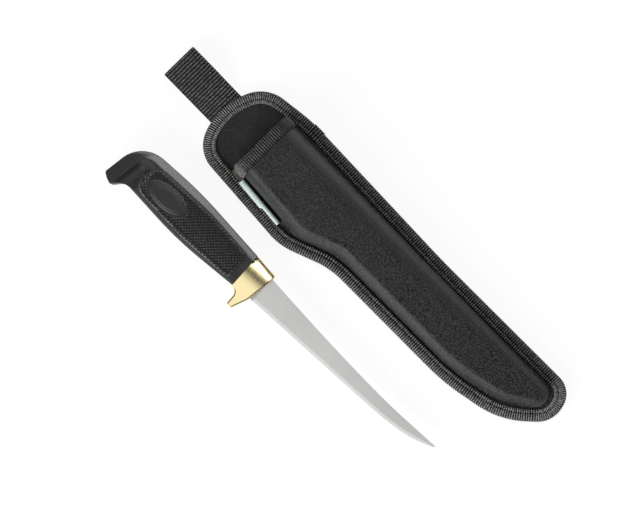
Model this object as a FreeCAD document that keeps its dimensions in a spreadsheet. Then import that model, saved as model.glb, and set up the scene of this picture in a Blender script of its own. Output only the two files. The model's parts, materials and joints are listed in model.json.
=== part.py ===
import FreeCAD, Part
import Sketcher
import math
import os
import re

# A fillet knife lying drawn on its side, beside its own padded sheath that lies on its back.
# X runs from the butt to the tip, Y towards the spine, Z up. The origin is under the middle of the
# sheath, on the surface that both lie on.

os.makedirs("parts", exist_ok=True)
doc = FreeCAD.newDocument("FilletKnife")
sheet = doc.addObject("Spreadsheet::Sheet", "Sizes")
Vector = FreeCAD.Vector

sizes = {
    # place of the knife: joint of handle and guard, seen from the origin
    "knife_x": -63.9,
    "knife_y": -61.4,
    # rubber grip
    "handle_length": 107.3,
    "handle_height": 30.7,
    "grip_thickness": 18.0,
    "spine_round": 5.5,
    "belly_round": 3.0,
    "scoop_radius": 7.5,
    "scoop_depth": 2.4,
    "scoop_inset": 13.5,
    "scoop_reach": 8.0,
    # stiff core under the rubber
    "core_cover": 15.3,
    "core_wall": 7.35,
    "core_drop": 1.0,
    "core_thickness": 8.0,
    "core_corner": 5.0,
    # tang and blade
    "tang_cover": 6.0,
    "tang_wall": 2.5,
    "tang_drop": 1.2,
    "tang_hole": 5.0,
    "blade_length": 148.0,
    "blade_root": 2.4,
    "blade_thickness": 2.0,
    "tip_thickness": 0.7,
    "edge_thickness": 0.15,
    "bevel_width": 2.0,
    "bevel_thickness": 0.6,
    "spine_rise": 6.3,
    "spine_drop": 9.6,
    "edge_depth": 12.3,
    "tip_lift": 8.6,
    # brass guard
    "guard_length": 17.2,
    "guard_height": 35.4,
    "guard_step": 1.2,
    "guard_spine_round": 5.0,
    "guard_edge_round": 1.6,
    "fit_gap": 0.05,
    # sheath outline
    "sheath_length": 287.5,
    "sheath_width": 71.5,
    "binding_width": 8.2,
    "crown_run": 8.0,
    "tongue_length": 33.35,
    "mouth_angle": 3.4,
    # sheath layers
    "fabric_thickness": 0.7,
    "foam_thickness": 1.6,
    "lining_thickness": 0.4,
    "tape_thickness": 0.8,
    "layer_gap": 0.05,
    "back_depth": 3.6,
    "mouth_height": 24.2,
    "tip_height": 10.0,
    "mouth_tape_width": 8.4,
    # stiff sleeve for the blade
    "grip_room": 74.4,
    "liner_thickness": 1.0,
    "liner_gap": 0.3,
    # belt loop
    "strap_width": 25.5,
    "strap_thickness": 1.1,
    "strap_slit": 0.3,
    "loop_reach": 41.0,
    "loop_rise": 9.0,
    "loop_y": 5.3,
    "loop_angle": -3.7,
    "sewn_length": 14.0,
    # bare tab in the lower seam
    "label_length": 36.0,
    "label_width": 4.4,
    "label_thickness": 0.7,
    "label_inset": 6.2,
    "label_lift": 8.45,
    "label_angle": 8.0,
    # how far a cutting shape runs past what it cuts
    "overrun": 60.0,
}

# What follows from these sizes: a piece that fits in another takes its size from it
fitted = {
    "core_length": "handle_length - core_cover",
    "core_height": "handle_height - 2 * core_wall",
    "tang_length": "core_length - tang_cover",
    "tang_height": "core_height - 2 * tang_wall",
    "guard_thickness": "grip_thickness - 2 * guard_step",
    "mouth_x": "tongue_length - sheath_length / 2",
    "liner_start": "mouth_x + grip_room",
    "label_x": "mouth_x + label_inset",
    "label_y": "label_lift - sheath_width / 2",
}

cells = {alias: str(number) for alias, number in sizes.items()}
cells.update({alias: "=" + text for alias, text in fitted.items()})
for row, (alias, content) in enumerate(cells.items(), start=1):
    sheet.set(f"A{row}", alias)
    sheet.set(f"B{row}", content)
    sheet.setAlias(f"B{row}", alias)
    doc.recompute()


def formula(text):
    """Write the sheet's name before each size in a formula."""
    return re.sub(r"[a-z_]+", lambda m: "Sizes." + m.group() if m.group() in cells else m.group(), text)


def measure(text):
    return float(sheet.evalExpression(formula(text)))


def bind(thing, prop, text):
    thing.setExpression(prop, formula(text))


def place(thing, x="0", y="0", z="0", axis="0;0;1", angle="0", centre="0;0;0"):
    """Move a shape, and turn it about a centre given in its own frame."""
    text = f"placement(vector({x};{y};{z});rotation(vector({axis});{angle});vector({centre}))"
    bind(thing, "Placement", text)


# Outlines: corners joined by straight runs, each corner rounded by a tangent arc

def round_corners(corners):
    """Return tangent points, arc middles and radii for (x, y, radius) corners."""
    count = len(corners)
    points = [Vector(x, y, 0) for x, y, r in corners]
    turns = []
    for i in range(count):
        way_in = (points[i] - points[i - 1]).normalize()
        way_out = (points[(i + 1) % count] - points[i]).normalize()
        cross = way_in.x * way_out.y - way_in.y * way_out.x
        turns.append((way_in, way_out, math.atan2(cross, way_in.dot(way_out))))
    cuts = [corners[i][2] * math.tan(abs(turns[i][2]) / 2) for i in range(count)]
    room_share = 0.99
    limits = []
    for i in range(count):
        run = (points[(i + 1) % count] - points[i]).Length
        taken = cuts[i] + cuts[(i + 1) % count]
        limits.append(min(1.0, room_share * run / taken) if taken > 0 else 1.0)
    rounds = []
    for i in range(count):
        limit = min(limits[i - 1], limits[i])
        way_in, way_out, turn = turns[i]
        radius = corners[i][2] * limit
        cut = cuts[i] * limit
        inward = way_out - way_in
        inward.normalize()
        middle = points[i] + inward * (radius / math.cos(turn / 2) - radius)
        rounds.append((points[i] - way_in * cut, middle, points[i] + way_out * cut, radius, turn, limit))
    return points, rounds


def draw_outline(sketch, corners):
    """Draw rounded corners in a sketch and tie them to the sheet; corners are (x, y, radius) formulas."""
    numbers = [tuple(measure(text) for text in corner) for corner in corners]
    points, rounds = round_corners(numbers)
    count = len(corners)
    marks = []
    for i in range(count):
        mark = sketch.addGeometry(Part.Point(points[i]), True)
        for name, number, text in zip(("DistanceX", "DistanceY"), points[i], corners[i]):
            index = sketch.addConstraint(Sketcher.Constraint(name, -1, 1, mark, 1, number))
            bind(sketch, f"Constraints[{index}]", text)
        marks.append(mark)
    lines = []
    for i in range(count):
        start = rounds[i][2]
        end = rounds[(i + 1) % count][0]
        lines.append(sketch.addGeometry(Part.LineSegment(start, end), False))
    for i in range(count):
        before = lines[i - 1]
        after = lines[i]
        first, middle, last, radius, turn, limit = rounds[i]
        if radius > 0:
            arc = sketch.addGeometry(Part.Arc(first, middle, last), False)
            near, far = (1, 2) if turn > 0 else (2, 1)
            sketch.addConstraint(Sketcher.Constraint("Tangent", before, 2, arc, near))
            sketch.addConstraint(Sketcher.Constraint("Tangent", arc, far, after, 1))
            sketch.addConstraint(Sketcher.Constraint("PointOnObject", marks[i], 1, before))
            sketch.addConstraint(Sketcher.Constraint("PointOnObject", marks[i], 1, after))
            index = sketch.addConstraint(Sketcher.Constraint("Radius", arc, radius))
            bind(sketch, f"Constraints[{index}]", f"({corners[i][2]}) * {limit}")
        else:
            sketch.addConstraint(Sketcher.Constraint("Coincident", before, 2, marks[i], 1))
            sketch.addConstraint(Sketcher.Constraint("Coincident", after, 1, marks[i], 1))


def by_shares(shares, along, across):
    """Corner formulas from shares of a length and of a height; radii are shares of the height."""
    return [(f"{along} * {x}", f"{across} * {y}", f"{across} * {r}") for x, y, r in shares]


def rectangle(left, right, low, high):
    return [(right, low, "0"), (right, high, "0"), (left, high, "0"), (left, low, "0")]


# Bodies: sketches on the body's own planes, padded or cut evenly to both sides

def plane_of(body, role):
    for feature in body.Origin.OriginFeatures:
        if feature.Role == role:
            return feature


def sketch_on(body, name, corners, role="XY_Plane"):
    sketch = body.newObject("Sketcher::SketchObject", name)
    sketch.AttachmentSupport = (plane_of(body, role), [""])
    sketch.MapMode = "FlatFace"
    doc.recompute()
    draw_outline(sketch, corners)
    doc.recompute()
    return sketch


def both_sides(body, kind, name, sketch, thickness):
    feature = body.newObject("PartDesign::" + kind, name)
    feature.Profile = sketch
    feature.SideType = "Symmetric"
    bind(feature, "Length", thickness)
    doc.recompute()
    return feature


flat_share = 1e-6


def round_edges(body, name, base, keep, radius):
    """Fillet the edges of the two flat sides whose middle passes the test."""
    half = base.Shape.BoundBox.ZMax
    chosen = []
    for index, edge in enumerate(base.Shape.Edges, start=1):
        box = edge.BoundBox
        level = math.isclose(box.ZMin, box.ZMax, rel_tol=flat_share)
        outer = math.isclose(abs(edge.CenterOfMass.z), half, rel_tol=flat_share)
        if level and outer and keep(edge.CenterOfMass):
            chosen.append(f"Edge{index}")
    feature = body.newObject("PartDesign::Fillet", name)
    feature.Base = (base, chosen)
    bind(feature, "Radius", radius)
    doc.recompute()
    return feature


def lay_knife(thing):
    """Put a knife piece, drawn about the handle's joint, on its side on the surface."""
    place(thing, "knife_x", "knife_y", "grip_thickness / 2")


# Blade: ground stations along the length, with the tang behind them in one piece

station_shares = (0.0, 0.08, 0.18, 0.3, 0.42, 0.54, 0.64, 0.74, 0.83, 0.9, 0.95, 0.98, 0.996)
drop_end_share = 0.79
lift_start_share = 0.568
bevel_most_share = 0.35
heel_share = 0.93
spine_power = 1.42
edge_power = 3.8


def blade_station(share):
    """Return the section of the blade at a share of its length, as a closed wire."""
    drop = 1 - (1 - min(1.0, share / drop_end_share)) ** spine_power
    lift = max(0.0, (share - lift_start_share) / (1 - lift_start_share)) ** edge_power
    spine = measure("spine_rise") - measure("spine_drop") * drop
    edge = measure("tip_lift") * lift - measure("edge_depth")
    back = measure("blade_thickness") + (measure("tip_thickness") - measure("blade_thickness")) * share
    bevel = min(measure("bevel_width"), bevel_most_share * (spine - edge))
    side = min(measure("bevel_thickness"), back)
    x = measure("guard_length") * heel_share + measure("blade_length") * share
    half_section = ((spine, back), (edge + bevel, side), (edge, measure("edge_thickness")))
    corners = [Vector(x, y, wide / 2) for y, wide in half_section]
    corners += [Vector(x, y, -wide / 2) for y, wide in reversed(half_section)]
    return Part.makePolygon(corners + corners[:1])


ground = doc.addObject("Part::Feature", "ground_blade")
ground.Shape = Part.makeLoft([blade_station(share) for share in station_shares], True, False)

root = doc.addObject("Part::Box", "blade_root")
bind(root, "Length", "blade_root")
bind(root, "Width", "spine_rise + edge_depth")
bind(root, "Height", "blade_thickness")
place(root, f"guard_length * {heel_share} - blade_root", "-edge_depth", "-blade_thickness / 2")

tang = doc.addObject("Part::Box", "tang")
bind(tang, "Length", f"tang_length + guard_length * {heel_share} - blade_root / 2")
bind(tang, "Width", "tang_height")
bind(tang, "Height", "blade_thickness")
place(tang, "-tang_length", "-tang_drop - tang_height / 2", "-blade_thickness / 2")

hole_shares = (0.279, 0.744)
tang_holes = []
for hole_share in hole_shares:
    hole = doc.addObject("Part::Cylinder", "tang_hole")
    bind(hole, "Radius", "tang_hole / 2")
    bind(hole, "Height", "overrun")
    place(hole, f"-tang_length * {hole_share}", "-tang_drop", "-overrun / 2")
    tang_holes.append(hole)

blade_blank = doc.addObject("Part::MultiFuse", "blade_blank")
blade_blank.Shapes = [ground, root, tang]
holes = doc.addObject("Part::MultiFuse", "tang_holes")
holes.Shapes = tang_holes
blade = doc.addObject("Part::Cut", "blade")
blade.Base = blade_blank
blade.Tool = holes
lay_knife(blade)

# Brass guard: a collar with a finger stop, slotted for the tang and for the root of the blade

guard_corner_shares = (
    (0.285, -0.695, 0.048),
    (0.512, -0.695, 0.048),
    (0.79, -0.381, 0.34),
    (1.0, 0.251, 0.0),
    (0.0, 0.305, 0.0),
    (0.0, -0.381, 0.0),
    (0.267, -0.435, 0.11),
)
guard = doc.addObject("PartDesign::Body", "finger_guard")
guard_corners = by_shares(guard_corner_shares, "guard_length", "guard_height")
guard_outline = sketch_on(guard, "guard_outline", guard_corners)
guard_pad = both_sides(guard, "Pad", "guard_pad", guard_outline, "guard_thickness")
guard_top = round_edges(
    guard, "guard_top", guard_pad,
    lambda p: p.y > measure("spine_rise"), "guard_spine_round")
guard_front = round_edges(
    guard, "guard_front", guard_top,
    lambda p: p.y < 0 and p.x > measure("fit_gap"), "guard_edge_round")
slot_thickness = "blade_thickness + 2 * fit_gap"
guard_slot = sketch_on(guard, "guard_slot", rectangle(
    "-overrun", "overrun", "-tang_drop - tang_height / 2 - fit_gap", "tang_height / 2 - tang_drop + fit_gap"))
guard_cut = both_sides(guard, "Pocket", "guard_cut", guard_slot, slot_thickness)
root_slot = sketch_on(guard, "root_slot", rectangle(
    f"guard_length * {heel_share} - blade_root - fit_gap", "overrun", "-overrun", "spine_rise + fit_gap"))
root_cut = both_sides(guard, "Pocket", "root_cut", root_slot, slot_thickness)
lay_knife(guard)

# Stiff core: moulded round the tang, with a plug through each of its holes

core = doc.addObject("PartDesign::Body", "handle_core")
core_low = "-core_drop - core_height / 2"
core_high = "core_height / 2 - core_drop"


def core_corners(gap):
    """Outline of the core, or with a gap the room for it in the grip."""
    return [
        ("0", f"{core_low} - {gap}", "0"),
        ("0", f"{core_high} + {gap}", "0"),
        (f"-core_length - {gap}", f"{core_high} + {gap}", f"core_corner + {gap}"),
        (f"-core_length - {gap}", f"{core_low} - {gap}", f"core_corner + {gap}"),
    ]


core_outline = sketch_on(core, "core_outline", core_corners("0"))
core_pad = both_sides(core, "Pad", "core_pad", core_outline, "core_thickness")
core_slot = sketch_on(core, "core_slot", rectangle(
    "-tang_length - fit_gap", "overrun",
    "-tang_drop - tang_height / 2 - fit_gap", "tang_height / 2 - tang_drop + fit_gap"))
core_cut = both_sides(core, "Pocket", "core_cut", core_slot, slot_thickness)
plugs = core.newObject("Sketcher::SketchObject", "core_plugs")
plugs.AttachmentSupport = (plane_of(core, "XY_Plane"), [""])
plugs.MapMode = "FlatFace"
doc.recompute()
for hole_share in hole_shares:
    across = f"-tang_length * {hole_share}"
    middle = Vector(measure(across), measure("-tang_drop"), 0)
    plug = plugs.addGeometry(Part.Circle(middle, Vector(0, 0, 1), measure("tang_hole / 2 - fit_gap")), False)
    for name, number, text in (("DistanceX", middle.x, across), ("DistanceY", middle.y, "-tang_drop")):
        index = plugs.addConstraint(Sketcher.Constraint(name, -1, 1, plug, 3, number))
        bind(plugs, f"Constraints[{index}]", text)
    index = plugs.addConstraint(Sketcher.Constraint("Radius", plug, measure("tang_hole / 2 - fit_gap")))
    bind(plugs, f"Constraints[{index}]", "tang_hole / 2 - fit_gap")
doc.recompute()
core_plugs = both_sides(core, "Pad", "core_plug_pad", plugs, "core_thickness")
lay_knife(core)

# Rubber grip: hooked butt, rounded spine and belly, a scoop across each flank before the butt

grip_corner_shares = (
    (0.0, -0.43, 0.0),
    (0.0, 0.352, 0.0),
    (-0.513, 0.551, 9.8),
    (-0.951, 0.537, 0.65),
    (-1.0, -0.44, 0.03),
    (-0.927, -0.596, 0.0),
    (-0.871, -0.336, 0.293),
    (-0.419, -0.495, 8.1),
)
grip_body = doc.addObject("PartDesign::Body", "grip_body")
grip_corners = by_shares(grip_corner_shares, "handle_length", "handle_height")
grip_outline = sketch_on(grip_body, "grip_outline", grip_corners)
grip_pad = both_sides(grip_body, "Pad", "grip_pad", grip_outline, "grip_thickness")
butt_share = 0.99
grip_end_share = 0.945


def on_spine(p):
    front = p.x > -measure("fit_gap")
    under = p.y < 0 and p.x > -measure("handle_length") * butt_share
    return not front and not under


def on_belly(p):
    front = p.x > -measure("fit_gap")
    end = p.x < -measure("handle_length") * grip_end_share
    return p.y < 0 and not front and not end


grip_spine = round_edges(grip_body, "grip_spine", grip_pad, on_spine, "spine_round")
grip_belly = round_edges(grip_body, "grip_belly", grip_spine, on_belly, "belly_round")
core_room = sketch_on(grip_body, "core_room", core_corners("fit_gap"))
core_hollow = both_sides(grip_body, "Pocket", "core_hollow", core_room, "core_thickness + 2 * fit_gap")

heel_x = f"handle_length * {grip_corner_shares[4][0]}"
heel_y = f"handle_height * {grip_corner_shares[4][1]}"
shoulder_x = f"handle_length * {grip_corner_shares[3][0]}"
shoulder_y = f"handle_height * {grip_corner_shares[3][1]}"
back_angle = f"atan2({shoulder_x} - {heel_x}; {shoulder_y} - {heel_y})"
scoops = []
for side_name, side in (("upper", "1"), ("lower", "-1")):
    level = f"{side} * (grip_thickness / 2 - scoop_depth + scoop_radius)"
    bar = doc.addObject("Part::Cylinder", f"scoop_bar_{side_name}")
    bind(bar, "Radius", "scoop_radius")
    bind(bar, "Height", "overrun")
    ball = doc.addObject("Part::Sphere", f"scoop_end_{side_name}")
    bind(ball, "Radius", "scoop_radius")
    scoop = doc.addObject("Part::MultiFuse", f"scoop_{side_name}")
    scoop.Shapes = [bar, ball]
    turned = f"rotation(vector(0;0;1);-{back_angle}) * rotation(vector(1;0;0);90)"
    middle_x = f"{heel_x} + scoop_inset"
    bind(scoop, "Placement", f"placement(vector({middle_x};scoop_reach;{level});{turned})")
    scoops.append(scoop)
scoop_pair = doc.addObject("Part::MultiFuse", "scoop_pair")
scoop_pair.Shapes = scoops
grip = doc.addObject("Part::Cut", "handle_grip")
grip.Base = grip_body
grip.Tool = scoop_pair
lay_knife(grip)

# Sheath: every layer follows two outlines, the rim and the foot of the raised front

rim_corner_shares = (
    (0.4912, 0.2783, 0.2098),
    (0.0843, 0.3608, 8.39),
    (-0.3331, 0.5049, 1.678),
    (-0.4618, 0.4671, 0.3357),
    (-0.5105, 0.0434, 0.6294),
    (-0.4792, -0.3762, 0.2937),
    (-0.2044, -0.5105, 0.5594),
    (-0.0861, -0.3622, 0.7692),
    (0.2652, -0.4406, 2.098),
    (0.4147, -0.3594, 0.8392),
    (0.5052, -0.0545, 0.2517),
)
crown_corner_shares = (
    ((0.49022, 0.27549, 0.02101), (-1, -1, 1)),
    ((0.04950, 0.36619, 6.99300), (0, -1, 0)),
    ((-0.46530, 0.50469, 0.05811), (0, -1, 1)),
    ((-0.46530, -0.33669, 0.05811), (0, 1, 1)),
    ((-0.18700, -0.47569, 0.19581), (0, 1, 1)),
    ((-0.09310, -0.35569, 0.33570), (0, 1, 0)),
    ((0.25130, -0.43499, 1.67800), (0, 1, 0)),
    ((0.37650, -0.35529, 0.62940), (0, 1, 0)),
)
crown_end_share = 0.4659
tip_corner_shares = (0.49542, 0.02801)
tip_edge_share = 1.8626


def outline_of(name, corners):
    sketch = doc.addObject("Sketcher::SketchObject", name)
    draw_outline(sketch, corners)
    doc.recompute()
    return sketch


# The foot of the raised front keeps the tape's width from the rim, and its corners are rounder than
# its shoulder; the edge at the tip is as long as the shoulders beside it need
crown_corners = []
for corner_shares, (ahead, aside, rounder) in crown_corner_shares:
    x, y, r = by_shares([corner_shares], "sheath_length", "sheath_width")[0]
    x = f"{x} + binding_width * ({ahead})"
    y = f"{y} + binding_width * ({aside})"
    crown_corners.append((x, y, f"{r} + crown_run * {rounder}"))
crown_corners.append((
    f"sheath_length * {tip_corner_shares[0]} - binding_width",
    f"{crown_corners[0][1]} - crown_run * {tip_edge_share}",
    f"sheath_width * {tip_corner_shares[1]} + crown_run"))

rim = outline_of("rim_outline", by_shares(rim_corner_shares, "sheath_length", "sheath_width"))
crown = outline_of("crown_outline", crown_corners)


def inset(name, source, depth):
    ring = doc.addObject("Part::Offset2D", name)
    ring.Source = source
    bind(ring, "Value", f"-({depth})")
    return ring


def slab(name, depth, low, high):
    """A flat layer inside the rim by a depth, between two levels."""
    ring = inset(name + "_ring", rim, depth)
    flat = doc.addObject("Part::Extrusion", name)
    flat.Base = ring
    flat.DirMode = "Custom"
    flat.Dir = Vector(0, 0, 1)
    flat.Solid = True
    bind(flat, "LengthFwd", f"({high}) - ({low})")
    bind(flat, "Placement.Base.z", low)
    return flat


def dome(name, depth, base):
    """The raised front, a layer's depth below its outer face: a quarter round shoulder in plan rings."""
    rings = []
    slope = f"(mouth_height - tip_height) / (sheath_length * {crown_end_share} - mouth_x)"
    for step, angle in enumerate((0, 30, 60, 90)):
        rise_share = math.sin(math.radians(angle))
        run_share = 1 - math.cos(math.radians(angle))
        ring = inset(f"{name}_ring_{step}", crown, f"{depth} + (crown_run - ({depth})) * {run_share}")
        level = f"{base} + (seam_level + tip_height - ({depth}) - ({base})) * {rise_share}"
        level = level.replace("seam_level", f"({seam_level})")
        turn = f"atan({slope} * {rise_share})"
        place(ring, "0", "0", level, "0;1;0", turn, f"sheath_length * {crown_end_share};0;0")
        rings.append(ring)
    raised = doc.addObject("Part::Loft", name)
    raised.Sections = rings
    raised.Solid = True
    raised.Ruled = False
    return raised


def cut(name, base, tool):
    result = doc.addObject("Part::Cut", name)
    result.Base = base
    result.Tool = tool
    return result


def common(name, base, tool):
    result = doc.addObject("Part::Common", name)
    result.Base = base
    result.Tool = tool
    return result


def across_block(name, edge, turn, length, low, before):
    """A block as long as stated that ends, or begins, at a line across the sheath."""
    block = doc.addObject("Part::Box", name)
    bind(block, "Length", length)
    bind(block, "Width", "sheath_width + 2 * overrun")
    bind(block, "Height", "2 * overrun")
    pivot = length if before else "0"
    start = f"{edge} - ({pivot})"
    place(
        block, start, "-sheath_width / 2 - overrun", low, "0;0;1", turn,
        f"{pivot};sheath_width / 2 + overrun;0")
    return block


lining_level = "(back_depth + fabric_thickness + layer_gap)"
seam_level = "(back_depth + fabric_thickness + lining_thickness + 2 * layer_gap)"
rim_top = f"({seam_level} + fabric_thickness + layer_gap)"
edge_inset = "(tape_thickness + layer_gap)"
pad_inset = "(binding_width + layer_gap)"
foam_depth = "(fabric_thickness + layer_gap)"
lining_depth = "(fabric_thickness + foam_thickness + 2 * layer_gap)"
stack_depth = "(fabric_thickness + foam_thickness + lining_thickness + 2 * layer_gap)"
mouth_turn = "-mouth_angle"
below = "-overrun"

mouth_block = across_block("mouth_block", "mouth_x", mouth_turn, "sheath_length", below, True)

# Front: outer fabric with its seam edge, padding and lining
shell_edge = slab("front_edge", edge_inset, seam_level, f"{seam_level} + fabric_thickness")
shell_dome = dome("front_dome", "0", seam_level)
shell_blank = doc.addObject("Part::MultiFuse", "front_blank")
shell_blank.Shapes = [shell_edge, shell_dome]
shell_room = dome("front_room", "fabric_thickness", f"{seam_level} - layer_gap")
front_shell = cut("front_shell", cut("front_whole", shell_blank, shell_room), mouth_block)

foam_dome = dome("foam_dome", foam_depth, seam_level)
foam_room = dome("foam_room", f"{foam_depth} + foam_thickness", f"{seam_level} - layer_gap")
front_foam = cut("front_foam", cut("foam_whole", foam_dome, foam_room), mouth_block)

lining_dome = dome("lining_dome", lining_depth, seam_level)
lining_room = dome("lining_room", stack_depth, f"{seam_level} - layer_gap")
front_lining = cut("front_lining", cut("lining_whole", lining_dome, lining_room), mouth_block)

# Back: a padded tray under the pocket, flat behind the tongue, and the lining that shows on the tongue
back_edge = slab("back_edge", edge_inset, "back_depth", "back_depth + fabric_thickness")
tray_all = slab("tray_all", pad_inset, "0", "back_depth + fabric_thickness")
tray = cut("tray", tray_all, mouth_block)
back_blank = doc.addObject("Part::MultiFuse", "back_blank")
back_blank.Shapes = [back_edge, tray]
pad_block = across_block("pad_block", "mouth_x + fabric_thickness", mouth_turn, "sheath_length", below, True)
tray_room_all = slab(
    "tray_room_all", f"{pad_inset} + fabric_thickness",
    "fabric_thickness", "back_depth + 2 * fabric_thickness")
tray_room = cut("tray_room", tray_room_all, pad_block)
back_shell = cut("back_shell", back_blank, tray_room)

foam_block = across_block(
    "foam_block", "mouth_x + fabric_thickness + layer_gap", mouth_turn, "sheath_length", below, True)
back_foam_all = slab(
    "back_foam_all", f"{pad_inset} + fabric_thickness + layer_gap",
    "fabric_thickness + layer_gap", f"{lining_level} - layer_gap")
back_foam = cut("back_foam", back_foam_all, foam_block)
back_lining = slab("back_lining", edge_inset, lining_level, f"{lining_level} + lining_thickness")

# Sleeve: a stiff pocket inside the pocket, open towards the mouth
sleeve_depth = f"({stack_depth} + liner_gap)"
sleeve_level = f"({lining_level} + lining_thickness + layer_gap)"
sleeve_block = across_block("sleeve_block", "liner_start", mouth_turn, "sheath_length", below, True)
sleeve_dome = dome("sleeve_dome", sleeve_depth, sleeve_level)
sleeve_room = dome("sleeve_room", f"{sleeve_depth} + liner_thickness", f"{sleeve_level} + liner_thickness")
blade_liner = cut("blade_liner", cut("sleeve_whole", sleeve_dome, sleeve_room), sleeve_block)

# Tape round the rim: folded over the edge, open towards the middle
tape_low = "back_depth - layer_gap - tape_thickness"
tape_top = f"{rim_top} + tape_thickness"
tape_all = slab("tape_all", "0", tape_low, tape_top)
tape_hole = slab("tape_hole", "binding_width", "-overrun", "overrun")
tape_fold = slab("tape_fold", "tape_thickness", "back_depth - layer_gap", rim_top)
edge_binding = cut("edge_binding", cut("tape_ring", tape_all, tape_hole), tape_fold)

# Tape over the mouth's edge: folded round the three front layers
mouth_outer = dome("mouth_outer", "-(tape_thickness + layer_gap)", seam_level)
mouth_inner = dome("mouth_inner", f"{stack_depth} + layer_gap + tape_thickness", f"{seam_level} - layer_gap")
mouth_strip = across_block(
    "mouth_strip", "mouth_x - tape_thickness - layer_gap", mouth_turn, "mouth_tape_width",
    f"{tape_top} + layer_gap", False)
mouth_band = cut("mouth_band", common("mouth_cover", mouth_outer, mouth_strip), mouth_inner)
layers_outer = dome("layers_outer", "-layer_gap", seam_level)
layers_inner = dome("layers_inner", f"{stack_depth} + layer_gap", f"{seam_level} - layer_gap")
gap_block = across_block("gap_block", "mouth_x - layer_gap", mouth_turn, "sheath_length", below, True)
layers_room = cut("layers_room", cut("layers_whole", layers_outer, layers_inner), gap_block)
mouth_binding = cut("mouth_binding", mouth_band, layers_room)

# Belt loop: webbing folded back on itself, sewn flat behind the tongue, its fold standing open beyond it
loop_end = "(-sheath_length / 2 - loop_reach)"
loop_start = "(mouth_x - layer_gap - fabric_thickness)"
loop_open = "(-sheath_length / 2 - loop_rise / 2)"
loop_crest = "(-sheath_length / 2 - 2 * loop_rise)"
strap_floor = "layer_gap"
strap_flat = "(layer_gap + 2 * strap_thickness + strap_slit)"
sewn_top = "(back_depth - layer_gap)"
loop_round_share = 0.42
ease_share = 0.333
loop_round = f"loop_rise * {loop_round_share}"
loop_ease = f"strap_thickness * {ease_share}"
loop_outer_corners = [
    (loop_start, strap_floor, "0"),
    (loop_start, sewn_top, "0"),
    (f"{loop_start} - sewn_length", sewn_top, "0"),
    (f"{loop_start} - sewn_length - strap_thickness", strap_flat, "0"),
    (loop_open, strap_flat, "loop_rise"),
    (loop_crest, "loop_rise", "loop_rise"),
    (loop_end, "loop_rise", loop_round),
    (loop_end, strap_floor, loop_round),
]
loop_inner_corners = [
    (f"{loop_start} - sewn_length", "layer_gap + strap_thickness", "0"),
    (f"{loop_start} - sewn_length", "layer_gap + strap_thickness + strap_slit", "0"),
    (f"{loop_open} - {loop_ease}", "layer_gap + strap_thickness + strap_slit", "loop_rise"),
    (f"{loop_crest} - {loop_ease}", "loop_rise - strap_thickness", "loop_rise"),
    (f"{loop_end} + strap_thickness", "loop_rise - strap_thickness", f"{loop_round} - strap_thickness"),
    (f"{loop_end} + strap_thickness", "layer_gap + strap_thickness", f"{loop_round} - strap_thickness"),
]
loop = doc.addObject("PartDesign::Body", "belt_loop")
loop_outline = sketch_on(loop, "loop_outline", loop_outer_corners, "XZ_Plane")
loop_pad = both_sides(loop, "Pad", "loop_pad", loop_outline, "strap_width")
loop_slot = sketch_on(loop, "loop_slot", loop_inner_corners, "XZ_Plane")
loop_cut = both_sides(loop, "Pocket", "loop_cut", loop_slot, "strap_width + overrun")
place(loop, "0", "loop_y", "0", "0;0;1", "loop_angle", "-sheath_length / 2;0;0")

# Bare tab: lies on the tape beside the foot of the raised front
label = doc.addObject("Part::Box", "seam_label")
bind(label, "Length", "label_length")
bind(label, "Width", "label_width")
bind(label, "Height", "label_thickness")
place(
    label, "label_x", "label_y", f"{tape_top} + layer_gap", "0;0;1", "-label_angle",
    "label_length / 2;label_width / 2;0")

doc.recompute()

pieces = {
    "blade": blade,
    "finger_guard": guard,
    "handle_core": core,
    "handle_grip": grip,
    "front_shell": front_shell,
    "front_foam": front_foam,
    "front_lining": front_lining,
    "back_shell": back_shell,
    "back_foam": back_foam,
    "back_lining": back_lining,
    "blade_liner": blade_liner,
    "edge_binding": edge_binding,
    "mouth_binding": mouth_binding,
    "belt_loop": loop,
    "seam_label": label,
}

faults = []
for thing in doc.Objects:
    if "Invalid" in thing.State or "Error" in thing.State:
        faults.append(f"{thing.Name}: {thing.State}")
for name, piece in pieces.items():
    piece.Label = name
    if piece.Shape.isNull() or not piece.Shape.isValid():
        faults.append(f"{name}: no valid shape")
    elif len(piece.Shape.Solids) != 1:
        faults.append(f"{name}: {len(piece.Shape.Solids)} solids")
if faults:
    raise SystemExit("\n".join(faults))

for name, piece in pieces.items():
    piece.Shape.exportStep(os.path.join("parts", name + ".step"))
    box = piece.Shape.BoundBox
    print(name, f"{piece.Shape.Volume:.0f} mm3", f"{box.XMin:.1f}..{box.XMax:.1f}",
          f"{box.YMin:.1f}..{box.YMax:.1f}", f"{box.ZMin:.2f}..{box.ZMax:.2f}")
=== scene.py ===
import json
import math

import bmesh
import bpy
import numpy as np
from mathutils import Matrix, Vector
from mathutils.kdtree import KDTree

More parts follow.
